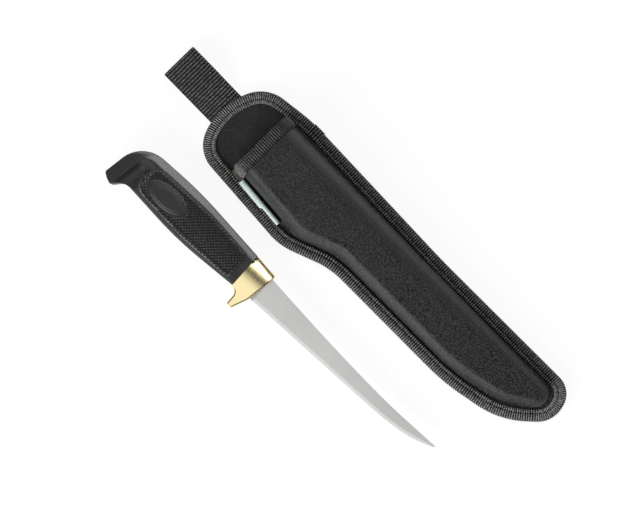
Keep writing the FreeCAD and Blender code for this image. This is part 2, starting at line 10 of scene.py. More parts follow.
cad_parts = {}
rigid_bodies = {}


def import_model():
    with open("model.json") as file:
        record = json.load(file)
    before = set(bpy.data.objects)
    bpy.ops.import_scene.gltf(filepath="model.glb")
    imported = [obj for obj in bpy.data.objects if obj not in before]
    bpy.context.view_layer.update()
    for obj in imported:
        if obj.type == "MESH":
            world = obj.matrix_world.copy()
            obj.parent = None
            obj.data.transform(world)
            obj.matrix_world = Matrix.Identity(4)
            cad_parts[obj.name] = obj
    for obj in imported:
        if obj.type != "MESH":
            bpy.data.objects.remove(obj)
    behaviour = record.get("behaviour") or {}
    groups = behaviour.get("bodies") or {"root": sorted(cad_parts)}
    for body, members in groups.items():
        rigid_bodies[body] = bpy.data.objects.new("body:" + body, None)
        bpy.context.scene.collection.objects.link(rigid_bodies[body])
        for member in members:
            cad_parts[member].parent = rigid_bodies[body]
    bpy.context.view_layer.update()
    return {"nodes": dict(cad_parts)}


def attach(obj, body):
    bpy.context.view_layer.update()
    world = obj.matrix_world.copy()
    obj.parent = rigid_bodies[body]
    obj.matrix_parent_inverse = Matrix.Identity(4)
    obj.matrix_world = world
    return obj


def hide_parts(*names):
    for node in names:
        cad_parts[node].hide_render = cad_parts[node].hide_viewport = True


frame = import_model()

scene = bpy.context.scene
mm = 0.001  # sizes below are in millimetres, meshes in metres
mergeReach = 1e-6  # nearer points are one, in metres
print("frame loaded:", len(frame["nodes"]), "nodes")


# outlines, grids and meshes

def runLength(line):
    return np.concatenate(((0,), np.cumsum(np.linalg.norm(np.diff(line, axis=0), axis=1))))


def roundedPlan(corners, step, closed=True):  # corners are x, y and a radius
    corners = [np.array(c, float) for c in corners]
    line = []
    for i, corner in enumerate(corners):
        here, radius = corner[:2], corner[2]
        wayIn = here - corners[i - 1][:2]
        wayOut = corners[(i + 1) % len(corners)][:2] - here
        wayIn, wayOut = wayIn / np.linalg.norm(wayIn), wayOut / np.linalg.norm(wayOut)
        turn = math.atan2(wayIn[0] * wayOut[1] - wayIn[1] * wayOut[0], wayIn @ wayOut)
        if not radius:
            line.append(here)
            continue
        start = here - wayIn * radius * math.tan(abs(turn) / 2)
        side = np.array((-wayIn[1], wayIn[0])) * math.copysign(1, turn)
        for a in np.linspace(0, abs(turn), max(3, int(abs(turn) * radius / step) + 2)):  # along the arc
            line.append(start + wayIn * radius * math.sin(a) + side * radius * (1 - math.cos(a)))
    return evenly(np.array(line), step, closed)


def evenly(line, step, closed=True):
    if closed:
        line = np.vstack((line, line[:1]))
    run = runLength(line)
    count = max(4, int(round(run[-1] / step)))
    marks = np.linspace(0, run[-1], count + 1)[:count + (0 if closed else 1)]
    return np.stack([np.interp(marks, run, line[:, k]) for k in range(line.shape[1])], axis=1)


def sideways(line, closed=True):  # unit normals to the left of the run
    if closed:
        along = np.roll(line, -1, axis=0) - np.roll(line, 1, axis=0)
    else:
        along = np.gradient(line, axis=0)
    along = along / np.linalg.norm(along, axis=1)[:, None]
    return np.stack((-along[:, 1], along[:, 0]), axis=1)


def inDepth(points, plan, chunk=3000, tiny=1e-12):  # distance to the plan's edge, below zero outside it
    a, b = plan, np.roll(plan, -1, axis=0)
    ab = b - a
    rise = np.where(np.abs(ab[:, 1]) < tiny, tiny, ab[:, 1])
    result = np.empty(len(points))
    for start in range(0, len(points), chunk):
        p = points[start:start + chunk, None, :]
        t = np.clip(((p - a) * ab).sum(2) / (ab * ab).sum(1), 0, 1)
        near = np.linalg.norm(p - a - ab * t[..., None], axis=2).min(1)
        above = (a[:, 1] > p[..., 1]) != (b[:, 1] > p[..., 1])
        crossing = a[:, 0] + (p[..., 1] - a[:, 1]) / rise * ab[:, 0]
        inside = (above & (p[..., 0] < crossing)).sum(1) % 2 == 1
        result[start:start + chunk] = np.where(inside, near, -near)
    return result


def smoothStep(low, high, value):
    t = np.clip((value - low) / (high - low), 0, 1)
    return t * t * (3 - 2 * t)


def atLevel(plan, height):  # points in plan, raised to one height or to one each
    return np.column_stack((plan, np.broadcast_to(height, len(plan))))


def turned(points, angle):  # in plan, about the origin
    cos, sin = math.cos(angle), math.sin(angle)
    x, y, z = points.T
    return np.column_stack((x * cos - y * sin, x * sin + y * cos, z))


def nearestIn(points):
    tree = KDTree(len(points))
    for i, point in enumerate(points):
        tree.insert(point, i)
    tree.balance()
    return tree


def newPiece(name, points=((0, 0, 0),), faces=(), material=None, uv=None, edges=()):
    mesh = bpy.data.meshes.new(name)
    spots = [tuple(p) for p in np.asarray(points, float) * mm]
    mesh.from_pydata(spots, list(edges), [tuple(f) for f in faces])
    if uv is not None:
        layer = mesh.uv_layers.new(name="cloth")
        which = np.zeros(len(mesh.loops), int)
        mesh.loops.foreach_get("vertex_index", which)
        layer.data.foreach_set("uv", (np.asarray(uv, float)[which] * mm).astype(np.float32).ravel())
    piece = bpy.data.objects.new(name, mesh)
    scene.collection.objects.link(piece)
    if material:
        mesh.materials.append(material)
    mesh.shade_smooth()
    return piece


def twin(piece, name):  # a copy with a mesh of its own, not yet in the scene
    other = piece.copy()
    other.data = piece.data.copy()
    other.name = name
    return other


def strips(rows, columns, wrapRows=False, wrapColumns=False):
    faces = []
    for i in range(rows if wrapRows else rows - 1):
        for j in range(columns if wrapColumns else columns - 1):
            k, m = (i + 1) % rows, (j + 1) % columns
            faces.append((i * columns + j, k * columns + j, k * columns + m, i * columns + m))
    return faces


def ends(rows, columns):  # the two faces that close such strips
    last = (rows - 1) * columns
    return [tuple(range(columns)), tuple(range(last + columns - 1, last - 1, -1))]


def bake(piece):  # modifiers into the mesh
    bpy.context.view_layer.update()
    made = bpy.data.meshes.new_from_object(piece.evaluated_get(bpy.context.evaluated_depsgraph_get()))
    made.name = piece.name
    piece.modifiers.clear()
    piece.data = made
    made.shade_smooth()
    return piece


def softEdges(piece, width, segments, angle):
    soft = piece.modifiers.new("fold", "BEVEL")
    soft.width, soft.segments = width * mm, segments
    soft.limit_method, soft.angle_limit = "ANGLE", math.radians(angle)


def coordinates(mesh):
    flat = np.zeros(len(mesh.vertices) * 3)
    mesh.vertices.foreach_get("co", flat)
    return flat.reshape(-1, 3) / mm


def setCoordinates(mesh, points):
    mesh.vertices.foreach_set("co", (np.asarray(points) * mm).astype(np.float32).ravel())
    mesh.update()


def opened(mesh):
    shape = bmesh.new()
    shape.from_mesh(mesh)
    return shape


def putBack(shape, piece):
    shape.to_mesh(piece.data)
    shape.free()
    piece.data.shade_smooth()


def planeCut(shape, point, normal, **more):  # a plane's cut through everything
    everything = shape.verts[:] + shape.edges[:] + shape.faces[:]
    place, way = Vector(point) * mm, Vector(normal)
    return bmesh.ops.bisect_plane(shape, geom=everything, plane_co=place, plane_no=way, **more)


def trim(piece, point, outward):  # cuts away what lies on the outward side
    shape = opened(piece.data)
    planeCut(shape, point, outward, clear_outer=True)
    putBack(shape, piece)


def fixNormals(piece):
    shape = opened(piece.data)
    bmesh.ops.remove_doubles(shape, verts=shape.verts, dist=mergeReach)
    bmesh.ops.recalc_face_normals(shape, faces=shape.faces)
    putBack(shape, piece)


# nodes, and shader groups that several finishes share

def join(tree, value, socket):  # a link from another node, or a plain value
    if hasattr(value, "is_output"):
        tree.links.new(value, socket)
    else:
        socket.default_value = value


def addNode(tree, kind, inputs=None, **settings):  # gives the new node's outputs
    node = tree.nodes.new(kind)
    for label, value in settings.items():
        setattr(node, label, value)
    for label, value in (inputs or {}).items():
        join(tree, value, node.inputs[label])
    return node.outputs


def sums(tree, operation, *values):
    return addNode(tree, "ShaderNodeMath", dict(enumerate(values)), operation=operation)[0]


def newGroup(name, tree, inputs, *outputs):  # an input is a kind of socket, or a number that it starts from
    group = bpy.data.node_groups.new(name, tree)
    for label, given in inputs.items():
        kind = given if isinstance(given, str) else "Float"
        socket = group.interface.new_socket(label, in_out="INPUT", socket_type="NodeSocket" + kind)
        if kind == "Float":
            socket.default_value = given
    kind = "Float" if tree == "ShaderNodeTree" else "Geometry"
    for label in outputs:
        group.interface.new_socket(label, in_out="OUTPUT", socket_type="NodeSocket" + kind)
    return group, group.nodes.new("NodeGroupInput").outputs, group.nodes.new("NodeGroupOutput").inputs


def makeWeave(swing=0.45, least=0.7):  # plain weave: threads that pass over and under each other
    group, given, out = newGroup(
        "plainWeave", "ShaderNodeTree", {"Vector": "Vector", "Threads": 2000.0}, "Height", "Tone")
    scaled = addNode(
        group, "ShaderNodeVectorMath", {0: given["Vector"], "Scale": given["Threads"]}, operation="SCALE")
    parts = addNode(group, "ShaderNodeSeparateXYZ", {0: scaled[0]})
    waves, steps = [], []
    for axis in ("X", "Y"):
        wave = sums(group, "SINE", sums(group, "MULTIPLY", parts[axis], math.pi))
        waves.append(sums(group, "ABSOLUTE", wave))
        steps.append(sums(group, "FLOOR", parts[axis]))
    over = sums(group, "PINGPONG", sums(group, "ADD", *steps), 1.0)
    height = addNode(group, "ShaderNodeMix", {0: over, 2: waves[0], 3: waves[1]})[0]
    join(group, height, out["Height"])
    # the tone is lowest where the threads dip under each other: painted shade between the threads
    join(group, sums(group, "MULTIPLY_ADD", height, swing, least), out["Tone"])
    return group


def makeMottle(finer=35.0, contrast=(0.3, 0.7)):  # slow and fine changes of tone, as handling leaves them
    group, given, out = newGroup(
        "handledTone", "ShaderNodeTree", {"Vector": "Vector", "Size": 60.0, "Amount": 0.2}, "Tone", "Grain")

    def noise(scale, detail):
        inputs = {"Vector": given["Vector"], "Scale": scale, "Detail": detail}
        return addNode(group, "ShaderNodeTexNoise", inputs)["Fac"]

    middle = sums(group, "SUBTRACT", noise(given["Size"], 4), 0.5)
    swing = sums(group, "MULTIPLY", middle, given["Amount"])
    join(group, sums(group, "MULTIPLY_ADD", swing, 2.0, 1.0), out["Tone"])
    fine = noise(sums(group, "MULTIPLY", given["Size"], finer), 2)
    low, high = contrast
    crisp = addNode(group, "ShaderNodeMapRange", {"Value": fine, "From Min": low, "From Max": high})
    join(group, crisp[0], out["Grain"])
    return group


def makeBrushing(along=0.03, swing=0.16, least=0.92):  # long fine scratches that run across the blade
    group, given, out = newGroup(
        "brushedLines", "ShaderNodeTree", {"Vector": "Vector", "Fineness": 900.0}, "Height", "Tone")
    stretch = addNode(
        group, "ShaderNodeVectorMath", {0: given["Vector"], 1: (1.0, along, 1.0)}, operation="MULTIPLY")
    lines = addNode(group, "ShaderNodeTexNoise", {
        "Vector": stretch[0], "Scale": given["Fineness"], "Detail": 5, "Roughness": 0.65})["Fac"]
    join(group, lines, out["Height"])
    join(group, sums(group, "MULTIPLY_ADD", lines, swing, least), out["Tone"])
    return group


weave, mottle, brushing = makeWeave(), makeMottle(), makeBrushing()


# finishes

clothLook = {
    "mottle": 0.16,  # amount of slow tones
    "contrast": (0.3, 0.7),  # of the grain
    "rough": (0.12, 0.12),  # spread of the roughness
    "depth": 0.1,  # of the relief
    "sheen": 0.1,
    "sheenRough": 0.4,
}
rubberLook = {  # here the size and the amount of slow tones
    "mottle": (70.0, 0.14), "contrast": (0, 1), "rough": (0.08, 0.1), "depth": 0.05, "bump": 0.25}
metalLook = {"mottle": (30.0, 0.08), "contrast": (0, 1), "rough": (0.07, 0.09), "depth": 0.02}


def newFinish(name, values):
    material = bpy.data.materials.new(name)
    material.use_nodes = True
    shader = material.node_tree.nodes["Principled BSDF"].inputs
    for label, value in values.items():
        shader[label].default_value = value
    return material, material.node_tree, shader


def effect(tree, group, coordinate="Object", **values):  # a shared group, on the piece's own coordinates
    place = addNode(tree, "ShaderNodeTexCoord")[coordinate]
    return addNode(tree, "ShaderNodeGroup", {"Vector": place, **values}, node_tree=group)


def tinted(tree, colour, *tones):  # a colour times one or more tones
    for tone in tones:
        colour = addNode(tree, "ShaderNodeVectorMath", {0: colour, "Scale": tone}, operation="SCALE")[0]
    return colour


def surface(tree, shader, look, colour, roughness, grain, height, bump):
    join(tree, colour, shader["Base Color"])
    (low, high), (less, more) = look["contrast"], look["rough"]
    rough = addNode(tree, "ShaderNodeMapRange", {
        "Value": grain, "From Min": low, "From Max": high,
        "To Min": roughness - less, "To Max": roughness + more})
    join(tree, rough[0], shader["Roughness"])
    relief = addNode(tree, "ShaderNodeBump", {
        "Height": height, "Strength": bump, "Distance": look["depth"] * mm})
    join(tree, relief[0], shader["Normal"])


def clothFinish(name, colour, threads, roughness=0.7, specular=0.3, coordinate="Object", bump=0.4, grain=0.7,
                grainSize=25.0):
    material, tree, shader = newFinish(name, {
        "Roughness": roughness, "Specular IOR Level": specular, "Sheen Weight": clothLook["sheen"],
        "Sheen Roughness": clothLook["sheenRough"]})
    cloth = effect(tree, weave, coordinate, Threads=threads)
    worn = effect(tree, mottle, Size=grainSize, Amount=clothLook["mottle"])
    speck = sums(tree, "MULTIPLY_ADD", worn["Grain"], grain * 2, 1 - grain)  # single threads catch more light
    # the weave's tone is painted shade between the threads; the mottle's tone varies at random
    colour = tinted(tree, colour, cloth["Tone"], worn["Tone"], speck)
    height = sums(tree, "ADD", cloth["Height"], worn["Grain"])
    surface(tree, shader, clothLook, colour, roughness, worn["Grain"], height, bump)
    return material


def rubberFinish(name, colour, roughness, specular=0.5):
    material, tree, shader = newFinish(name, {"Roughness": roughness, "Specular IOR Level": specular})
    size, amount = rubberLook["mottle"]
    worn = effect(tree, mottle, Size=size, Amount=amount)
    colour = tinted(tree, colour, worn["Tone"])
    surface(tree, shader, rubberLook, colour, roughness, worn["Grain"], worn["Grain"], rubberLook["bump"])
    return material


def metalFinish(name, colour, roughness, fineness, bump):
    material, tree, shader = newFinish(name, {"Roughness": roughness, "Metallic": 1.0})
    size, amount = metalLook["mottle"]
    lines = effect(tree, brushing, Fineness=fineness)
    worn = effect(tree, mottle, Size=size, Amount=amount)
    colour = tinted(tree, colour, lines["Tone"], worn["Tone"])
    surface(tree, shader, metalLook, colour, roughness, lines["Height"], lines["Height"], bump)
    return material


finishes = {
    "nylon": clothFinish(
        "blackNylon", (0.0105, 0.0103, 0.0107), 1700.0, roughness=0.43, specular=0.4, coordinate="UV", bump=0.8,
        grain=2.4, grainSize=30.0),
    "lining": clothFinish(
        "blackLining", (0.016, 0.016, 0.0165), 1300.0, roughness=0.75, specular=0.2, coordinate="UV"),
    "tape": clothFinish("darkTape", (0.0105, 0.0105, 0.0105), 2600.0, roughness=0.8, specular=0.1),
    # the ribs are painted lighter than the black tape they sit on: a painted highlight along each rib, with the
    # dark tape between the ribs standing for painted shade in the gaps
    "rib": clothFinish("tapeRib", (0.16, 0.158, 0.155), 1200.0, roughness=0.6),
    "mouthRib": clothFinish("mouthTapeRib", (0.06, 0.0595, 0.058), 1200.0, roughness=0.6),
    "tapeEnd": clothFinish("tapeEnd", (0.09, 0.086, 0.08), 1600.0, roughness=0.65),
    # black webbing whose dark base also stands for painted shade in the gaps, and whose ribs are painted
    # lighter as a painted highlight along each rib
    "webbing": clothFinish("blackWebbing", (0.012, 0.012, 0.012), 1800.0, roughness=0.8, specular=0.1),
    "webbingRib": clothFinish("webbingRib", (0.085, 0.0845, 0.082), 1100.0, roughness=0.6, grain=0.85),
    "thread": clothFinish("blackThread", (0.006, 0.006, 0.006), 4000.0, specular=0.15),
    "tab": clothFinish("paleTab", (0.68, 0.8, 0.785), 2600.0, roughness=0.5, bump=0.25, grain=0.12),
    "rubber": rubberFinish("blackRubber", (0.0105, 0.0105, 0.0115), 0.36, specular=0.56),
    "core": rubberFinish("blackCore", (0.04, 0.04, 0.042), 0.45),
    "sleeve": rubberFinish("darkSleeve", (0.03, 0.03, 0.033), 0.4),
    "steel": metalFinish("satinSteel", (0.81, 0.805, 0.79), 0.36, 6000.0, 0.05),
    "brass": metalFinish("satinBrass", (0.86, 0.735, 0.415), 0.24, 3000.0, 0.03),
}
print("finishes made:", len(finishes))


# geometry nodes: units set along a line, and points of checkering on a panel

def runTree(piece, tree, **values):
    modifier = piece.modifiers.new("nodes", "NODES")
    modifier.node_group = tree
    for item in tree.interface.items_tree:
        if item.in_out == "INPUT" and item.name in values:
            modifier[item.identifier] = values[item.name]
    return bake(piece)


def named(tree, label):  # an attribute of the points
    return addNode(tree, "GeometryNodeInputNamedAttribute", {"Name": label}, data_type="FLOAT_VECTOR")[0]


def meshOf(tree, item):
    return addNode(tree, "GeometryNodeObjectInfo", {"Object": item})["Geometry"]


def setUnits(tree, given, out, **inputs):  # copies on points, made real and given their finish
    copies = addNode(tree, "GeometryNodeInstanceOnPoints", inputs)
    real = addNode(tree, "GeometryNodeRealizeInstances", {0: copies[0]})
    coat = addNode(tree, "GeometryNodeSetMaterial", {"Geometry": real[0], "Material": given["Finish"]})
    join(tree, coat[0], out[0])


def makeSeamTree():  # a unit at even steps along a line, its Z on the line's lift
    tree, given, out = newGroup(
        "unitsAlongSeam", "GeometryNodeTree",
        {"Geometry": "Geometry", "Unit": "Object", "Spacing": 0.001, "Finish": "Material"}, "Geometry")
    line = addNode(tree, "GeometryNodeMeshToCurve", {"Mesh": given["Geometry"]})
    even = addNode(
        tree, "GeometryNodeResampleCurve", {"Curve": line[0], "Length": given["Spacing"]}, mode="LENGTH")
    tangent = addNode(tree, "GeometryNodeInputTangent")
    ahead = addNode(tree, "FunctionNodeAlignRotationToVector", {"Vector": tangent[0]}, axis="X")
    upright = addNode(
        tree, "FunctionNodeAlignRotationToVector", {"Rotation": ahead[0], "Vector": named(tree, "lift")},
        axis="Z", pivot_axis="X")
    setUnits(tree, given, out, Points=even[0], Instance=meshOf(tree, given["Unit"]), Rotation=upright[0])
    return tree


def makeCheckerTree(reach=0.11, drop=0.1, foot=0.97, tip=0.24):  # points on a turned lattice over a panel
    tree, given, out = newGroup("checkering", "GeometryNodeTree", {
        "Geometry": "Geometry", "Panel": "Object", "Pitch": 0.0014, "Height": 0.0005, "Stretch": 1.15,
        "Side": 1.0, "Finish": "Material"}, "Geometry")
    pitch = given["Pitch"]
    whole = addNode(tree, "FunctionNodeFloatToInt", {0: sums(tree, "DIVIDE", reach, pitch)})[0]
    size, count = sums(tree, "MULTIPLY", whole, pitch), sums(tree, "ADD", whole, 1.0)
    grid = addNode(tree, "GeometryNodeMeshGrid", {
        "Size X": size, "Size Y": size, "Vertices X": count, "Vertices Y": count})
    lattice = addNode(tree, "GeometryNodeTransform", {"Geometry": grid[0], "Rotation": (0, 0, math.pi / 4)})
    scale = addNode(tree, "ShaderNodeCombineXYZ", {"X": given["Stretch"], "Y": 1.0, "Z": 1.0})[0]
    widened = addNode(tree, "GeometryNodeTransform", {"Geometry": lattice[0], "Scale": scale})
    position = addNode(tree, "GeometryNodeInputPosition")
    where = addNode(
        tree, "GeometryNodeAttributeStatistic", {"Geometry": given["Geometry"], "Attribute": position[0]},
        data_type="FLOAT_VECTOR")
    placed = addNode(tree, "GeometryNodeSetPosition", {"Geometry": widened[0], "Offset": where["Mean"]})
    aim = addNode(tree, "ShaderNodeCombineXYZ", {"Z": sums(tree, "MULTIPLY", given["Side"], -1.0)})
    ray = addNode(tree, "GeometryNodeRaycast", {
        "Target Geometry": meshOf(tree, given["Panel"]), "Ray Direction": aim[0], "Ray Length": drop})
    missed = addNode(tree, "FunctionNodeBooleanMath", {0: ray["Is Hit"]}, operation="NOT")
    stored = addNode(
        tree, "GeometryNodeStoreNamedAttribute",
        {"Geometry": placed[0], "Name": "facing", "Value": ray["Hit Normal"]}, data_type="FLOAT_VECTOR")
    kept = addNode(tree, "GeometryNodeDeleteGeometry", {"Geometry": stored[0], "Selection": missed[0]})
    seated = addNode(tree, "GeometryNodeSetPosition", {"Geometry": kept[0], "Position": ray["Hit Position"]})
    spots = addNode(tree, "GeometryNodeMeshToPoints", {"Mesh": seated[0]})
    half = sums(tree, "MULTIPLY", pitch, math.sqrt(0.5))
    cone = addNode(tree, "GeometryNodeMeshCone", {
        "Vertices": 4, "Radius Bottom": sums(tree, "MULTIPLY", half, foot),
        "Radius Top": sums(tree, "MULTIPLY", half, tip), "Depth": given["Height"]}, fill_type="NGON")
    faced = addNode(tree, "FunctionNodeAlignRotationToVector", {"Vector": named(tree, "facing")}, axis="Z")
    setUnits(tree, given, out, Points=spots[0], Instance=cone[0], Rotation=faced[0], Scale=scale)
    return tree


seamTree, checkerTree = makeSeamTree(), makeCheckerTree()


def alongSeam(name, line, lift, unit, spacing, finish, closed):
    count = len(line)
    edges = [(i, (i + 1) % count) for i in range(count if closed else count - 1)]
    piece = newPiece(name, line, (), finishes[finish], edges=edges)
    layer = piece.data.attributes.new("lift", "FLOAT_VECTOR", "POINT")
    layer.data.foreach_set("vector", np.asarray(lift, np.float32).ravel())
    runTree(piece, seamTree, Unit=unit, Spacing=spacing * mm, Finish=finishes[finish])
    bpy.data.objects.remove(unit)
    return piece


# camera, light and floor

photoView = {
    "centre": (-37.4, -24.9),  # what the middle of the picture looks at
    "turn": 42.0,
    "width": 400.7,  # seen across at the level below
    "level": 6.0,
    "lens": 100.0,
    "sensor": 36.0,
}
studio = {
    "lamps": {  # place, sides in metres, watts and perhaps an aim; the photo lights its items apart
        "sheathLamps": {
            "nearBox": ((-0.05, -1.12, 0.62), (1.0, 0.6), 25.0),
            "topBox": ((-0.1, -0.75, 1.4), (1.2, 0.9), 0.5),
            "farBox": ((0.0, 0.5, 1.15), (1.0, 0.5), 1.9),
            "farLowBox": ((0.0, 0.68, 1.0), (1.0, 0.6), 3.0),
            "farRimBox": ((0.0, 1.2, 0.35), (1.6, 0.4), 4.0),
        },
        "knifeLamps": {
            "knifeNearBox": ((-0.05, -1.25, 0.33), (1.0, 0.5), 4.0),
            "knifeCeiling": ((0.0, -1.08, 1.5), (2.2, 1.9), 9.2, (0.0, -1.08, 0)),
            "knifeTopBox": ((-0.1, -0.75, 1.4), (1.2, 0.9), 1.5),
            "knifeFarBox": ((0.0, 0.68, 1.0), (1.0, 0.6), 3.0),
        },
        "gripLamps": {"gripSideBox": ((-0.35, 0.9, 0.76), (2.4, 0.6), 25.5)},
    },
    "aim": (-0.04, -0.02, 0),
    "sky": 0.09,
    "floor": (0.86, 0.86, 0.86),
    "floorAt": (1500, -0.3),  # half its side, and its level
    "floorGlow": 0.9,  # how much of it glows for rays that see it
    "glow": 1.02,
}
litSets = {name: bpy.data.collections.new(name) for name in studio["lamps"]}  # what each set of lamps lights


def makeCamera():
    data = bpy.data.cameras.new("photoCamera")
    data.lens, data.sensor_width = photoView["lens"], photoView["sensor"]
    away = photoView["width"] * data.lens / data.sensor_width + photoView["level"]
    camera = bpy.data.objects.new("photoCamera", data)
    camera.location = Vector((*photoView["centre"], away)) * mm
    camera.rotation_euler = (0, 0, math.radians(photoView["turn"]))
    scene.collection.objects.link(camera)
    scene.camera = camera


def makeLights():
    for setName, lamps in studio["lamps"].items():
        for name, (where, sides, watts, *aim) in lamps.items():
            data = bpy.data.lights.new(name, "AREA")
            data.shape = "RECTANGLE"
            data.size, data.size_y = sides
            data.energy = watts
            lamp = bpy.data.objects.new(name, data)
            lamp.location = where
            way = Vector(aim[0] if aim else studio["aim"]) - Vector(where)
            lamp.rotation_euler = way.to_track_quat("-Z", "Y").to_euler()
            lamp.light_linking.receiver_collection = litSets[setName]
            scene.collection.objects.link(lamp)


def makeWorld():
    world = bpy.data.worlds.new("studioSky")
    world.use_nodes = True
    scene.world = world
    tree = world.node_tree
    plain = tree.nodes["Background"]
    plain.inputs["Strength"].default_value = studio["sky"]
    plain.inputs["Color"].default_value = (1, 1, 1, 1)
    seen = addNode(tree, "ShaderNodeLightPath")["Is Camera Ray"]
    pale = addNode(tree, "ShaderNodeBackground", {"Strength": 1.0})
    mix = addNode(tree, "ShaderNodeMixShader", {0: seen, 1: plain.outputs[0], 2: pale[0]})
    join(tree, mix[0], tree.nodes["World Output"].inputs["Surface"])


def makeFloor():
    half, level = studio["floorAt"]
    corners = [(-half, -half, level), (half, -half, level), (half, half, level), (-half, half, level)]
    floor = newPiece("studioFloor", corners, [(0, 1, 2, 3)])
    material = bpy.data.materials.new("whiteFloor")
    material.use_nodes = True
    tree = material.node_tree
    tree.nodes.remove(tree.nodes["Principled BSDF"])
    matte = addNode(tree, "ShaderNodeBsdfDiffuse", {"Color": (*studio["floor"], 1)})
    glow = addNode(tree, "ShaderNodeEmission", {"Strength": studio["glow"]})
    rays = addNode(tree, "ShaderNodeLightPath")
    seen = sums(tree, "MAXIMUM", rays["Is Camera Ray"], rays["Is Glossy Ray"])
    seen = sums(tree, "MAXIMUM", seen, rays["Is Transmission Ray"])
    share = sums(tree, "MULTIPLY", seen, studio["floorGlow"])
    mix = addNode(tree, "ShaderNodeMixShader", {0: share, 1: matte[0], 2: glow[0]})
    join(tree, mix[0], tree.nodes["Material Output"].inputs["Surface"])
    floor.data.materials.append(material)


makeCamera()
makeLights()
makeWorld()
makeFloor()
scene.view_settings.view_transform = "Standard"
print("camera, lights and floor set")


# sheath: outlines and steps that its pieces share

sheathForm = {
    "rim": (
        (141.2, 19.9, 15), (24.2, 25.8, 600), (-95.8, 36.1, 120), (-132.8, 33.4, 24), (-146.8, 3.1, 45),
        (-137.8, -26.9, 21), (-58.8, -36.5, 40), (-24.8, -25.9, 55), (76.2, -31.5, 150), (119.2, -25.7, 60),
        (145.2, -3.9, 18)),
    "foot": (
        (132.7, 11.5, 9.5), (14.2, 18.0, 500), (-133.8, 27.9, 12.2), (-133.8, -15.9, 12.2), (-53.8, -25.8, 22),
        (-26.8, -17.2, 24), (72.2, -22.9, 120), (108.2, -17.2, 45), (134.2, -3.4, 10)),
    "seam": 4.8,
    "mouth": -110.4,
    "mouthAngle": math.radians(3.4),
    "mouthHeight": 24.2,
    "tipHeight": 10.0,
    "tipX": 133.95,
    "ribSunk": 0.03,  # how far a rib sits in its tape
}
rimLine = roundedPlan(sheathForm["rim"], 1.0)
mouthOut = np.array((-math.cos(sheathForm["mouthAngle"]), math.sin(sheathForm["mouthAngle"]), 0))


def mouthPoint(inward):  # on the mouth's line, or so far behind it
    return np.array((sheathForm["mouth"], 0, 0)) - mouthOut * inward


def behindMouth(points):
    return -(points[:, :2] - mouthPoint(0)[:2]) @ mouthOut[:2]


def frontRise(x):
    slope = (sheathForm["mouthHeight"] - sheathForm["tipHeight"]) / (sheathForm["tipX"] - sheathForm["mouth"])
    return sheathForm["tipHeight"] + (sheathForm["tipX"] - x) * slope


def evenCount(line):
    return line[:len(line) // 2 * 2]


def fromLeft(corners, step):  # a rounded outline that starts at the far left
    line = roundedPlan(corners, step)
    return evenCount(np.roll(line, -int(np.argmin(line[:, 0])), axis=0))


def ladder(rings, closed, across, crown=None):  # rings from the edge inwards, the last one bridged by rungs
    count = len(rings[0])
    faces = [face[::-1] for face in strips(len(rings), count, wrapColumns=closed)]
    inner, base = rings[-1], (len(rings) - 1) * count
    shares = np.arange(1, across)[:, None] / across
    last = count // 2 - 2
    rungs, rows = [], []
    for i in range(1 if closed else 0, last + 1):
        other = count - 1 - i
        start = len(rings) * count + len(rungs) * (across - 1)
        rungs.append(inner[i] + (inner[other] - inner[i]) * shares)
        rows.append((base + i, *range(start, start + across - 1), base + other))
    for a, b in zip(rows, rows[1:]):
        faces += [(a[k], b[k], b[k + 1], a[k + 1]) for k in range(across)]
    faces.append((base + last, base + last + 1, base + last + 2, *rows[-1][:0:-1]))
    if closed:
        faces.append((base + count - 2, base + count - 1, base, *rows[0][:-1]))
    rungs = np.vstack(rungs)
    if crown is not None:
        rungs[:, 2] = crown(rungs[:, :2])
    return np.vstack((*rings, rungs)), faces


def setGroup(piece, name, weights):
    group = piece.vertex_groups.new(name=name)
    for i, weight in enumerate(weights):
        group.add([i], float(weight), "REPLACE")


# sheath: padded front

frontPad = {
    "step": 1.3,
    "from": -121,  # the sheet starts outside the mouth and is trimmed there
    "gap": 0.8,  # bare strip between the tape and the wall, on the lower side
    "shoulder": (7.4, 12.5),  # its width on the lower and the upper side
    "upperWay": (-0.2, 0.9),  # how a side faces where the lower shoulder turns into the upper one
    "upperFade": (40, 112),  # and where that ends, towards the tip
    "roundness": 2.1,  # two is an ellipse, more is fuller
    "shoulderSteps": 18,
    "across": 22,
    "flange": ((4.6, 0.35), (2.2, 0.4), (0.0, 0.4)),  # outside the foot, height over the seam
    "wall": 2.7,
    "edgeWalls": (0.16, 0.16, 0.18, 0.3, 0.55, 0.8),  # shares of the wall, from the flange inwards
    "gather": (0.32, 5.4, -34.0, 17.0),  # height, pitch, middle and reach of the gathers by the bend
    "gatherElsewhere": 0.16,
    "gatherSwing": (0.7, 0.3, 0.31, 0.23, 0.5),  # mean and swing of their heights, slow waves, and shift
    "crease": (0.2, 5.6, 0.8),  # height, inset and width of the crease along the upper side
    "creaseStart": (-80, -50),
}


def frontFolds(line, inset, edge):  # how far the cloth stands out in gathers and in a crease
    height, pitch, middle, reach = frontPad["gather"]
    mean, swing, slow, drift, shift = frontPad["gatherSwing"]
    run, lower = runLength(line), line[:, 1] < 0
    near = np.where(lower, np.exp(-((line[:, 0] - middle) / reach) ** 2), 0) + frontPad["gatherElsewhere"]
    band = np.sin(math.pi * np.minimum(1, inset / edge)) ** 2
    uneven = mean + swing * np.sin(run * slow + 1.0)
    gather = height * near * band * uneven * np.sin(math.tau * run / pitch + shift * np.sin(run * drift))
    height, middle, width = frontPad["crease"]
    begun = ~lower * smoothStep(*frontPad["creaseStart"], line[:, 0])
    return gather + height * np.exp(-((inset - middle) / width) ** 2) * begun


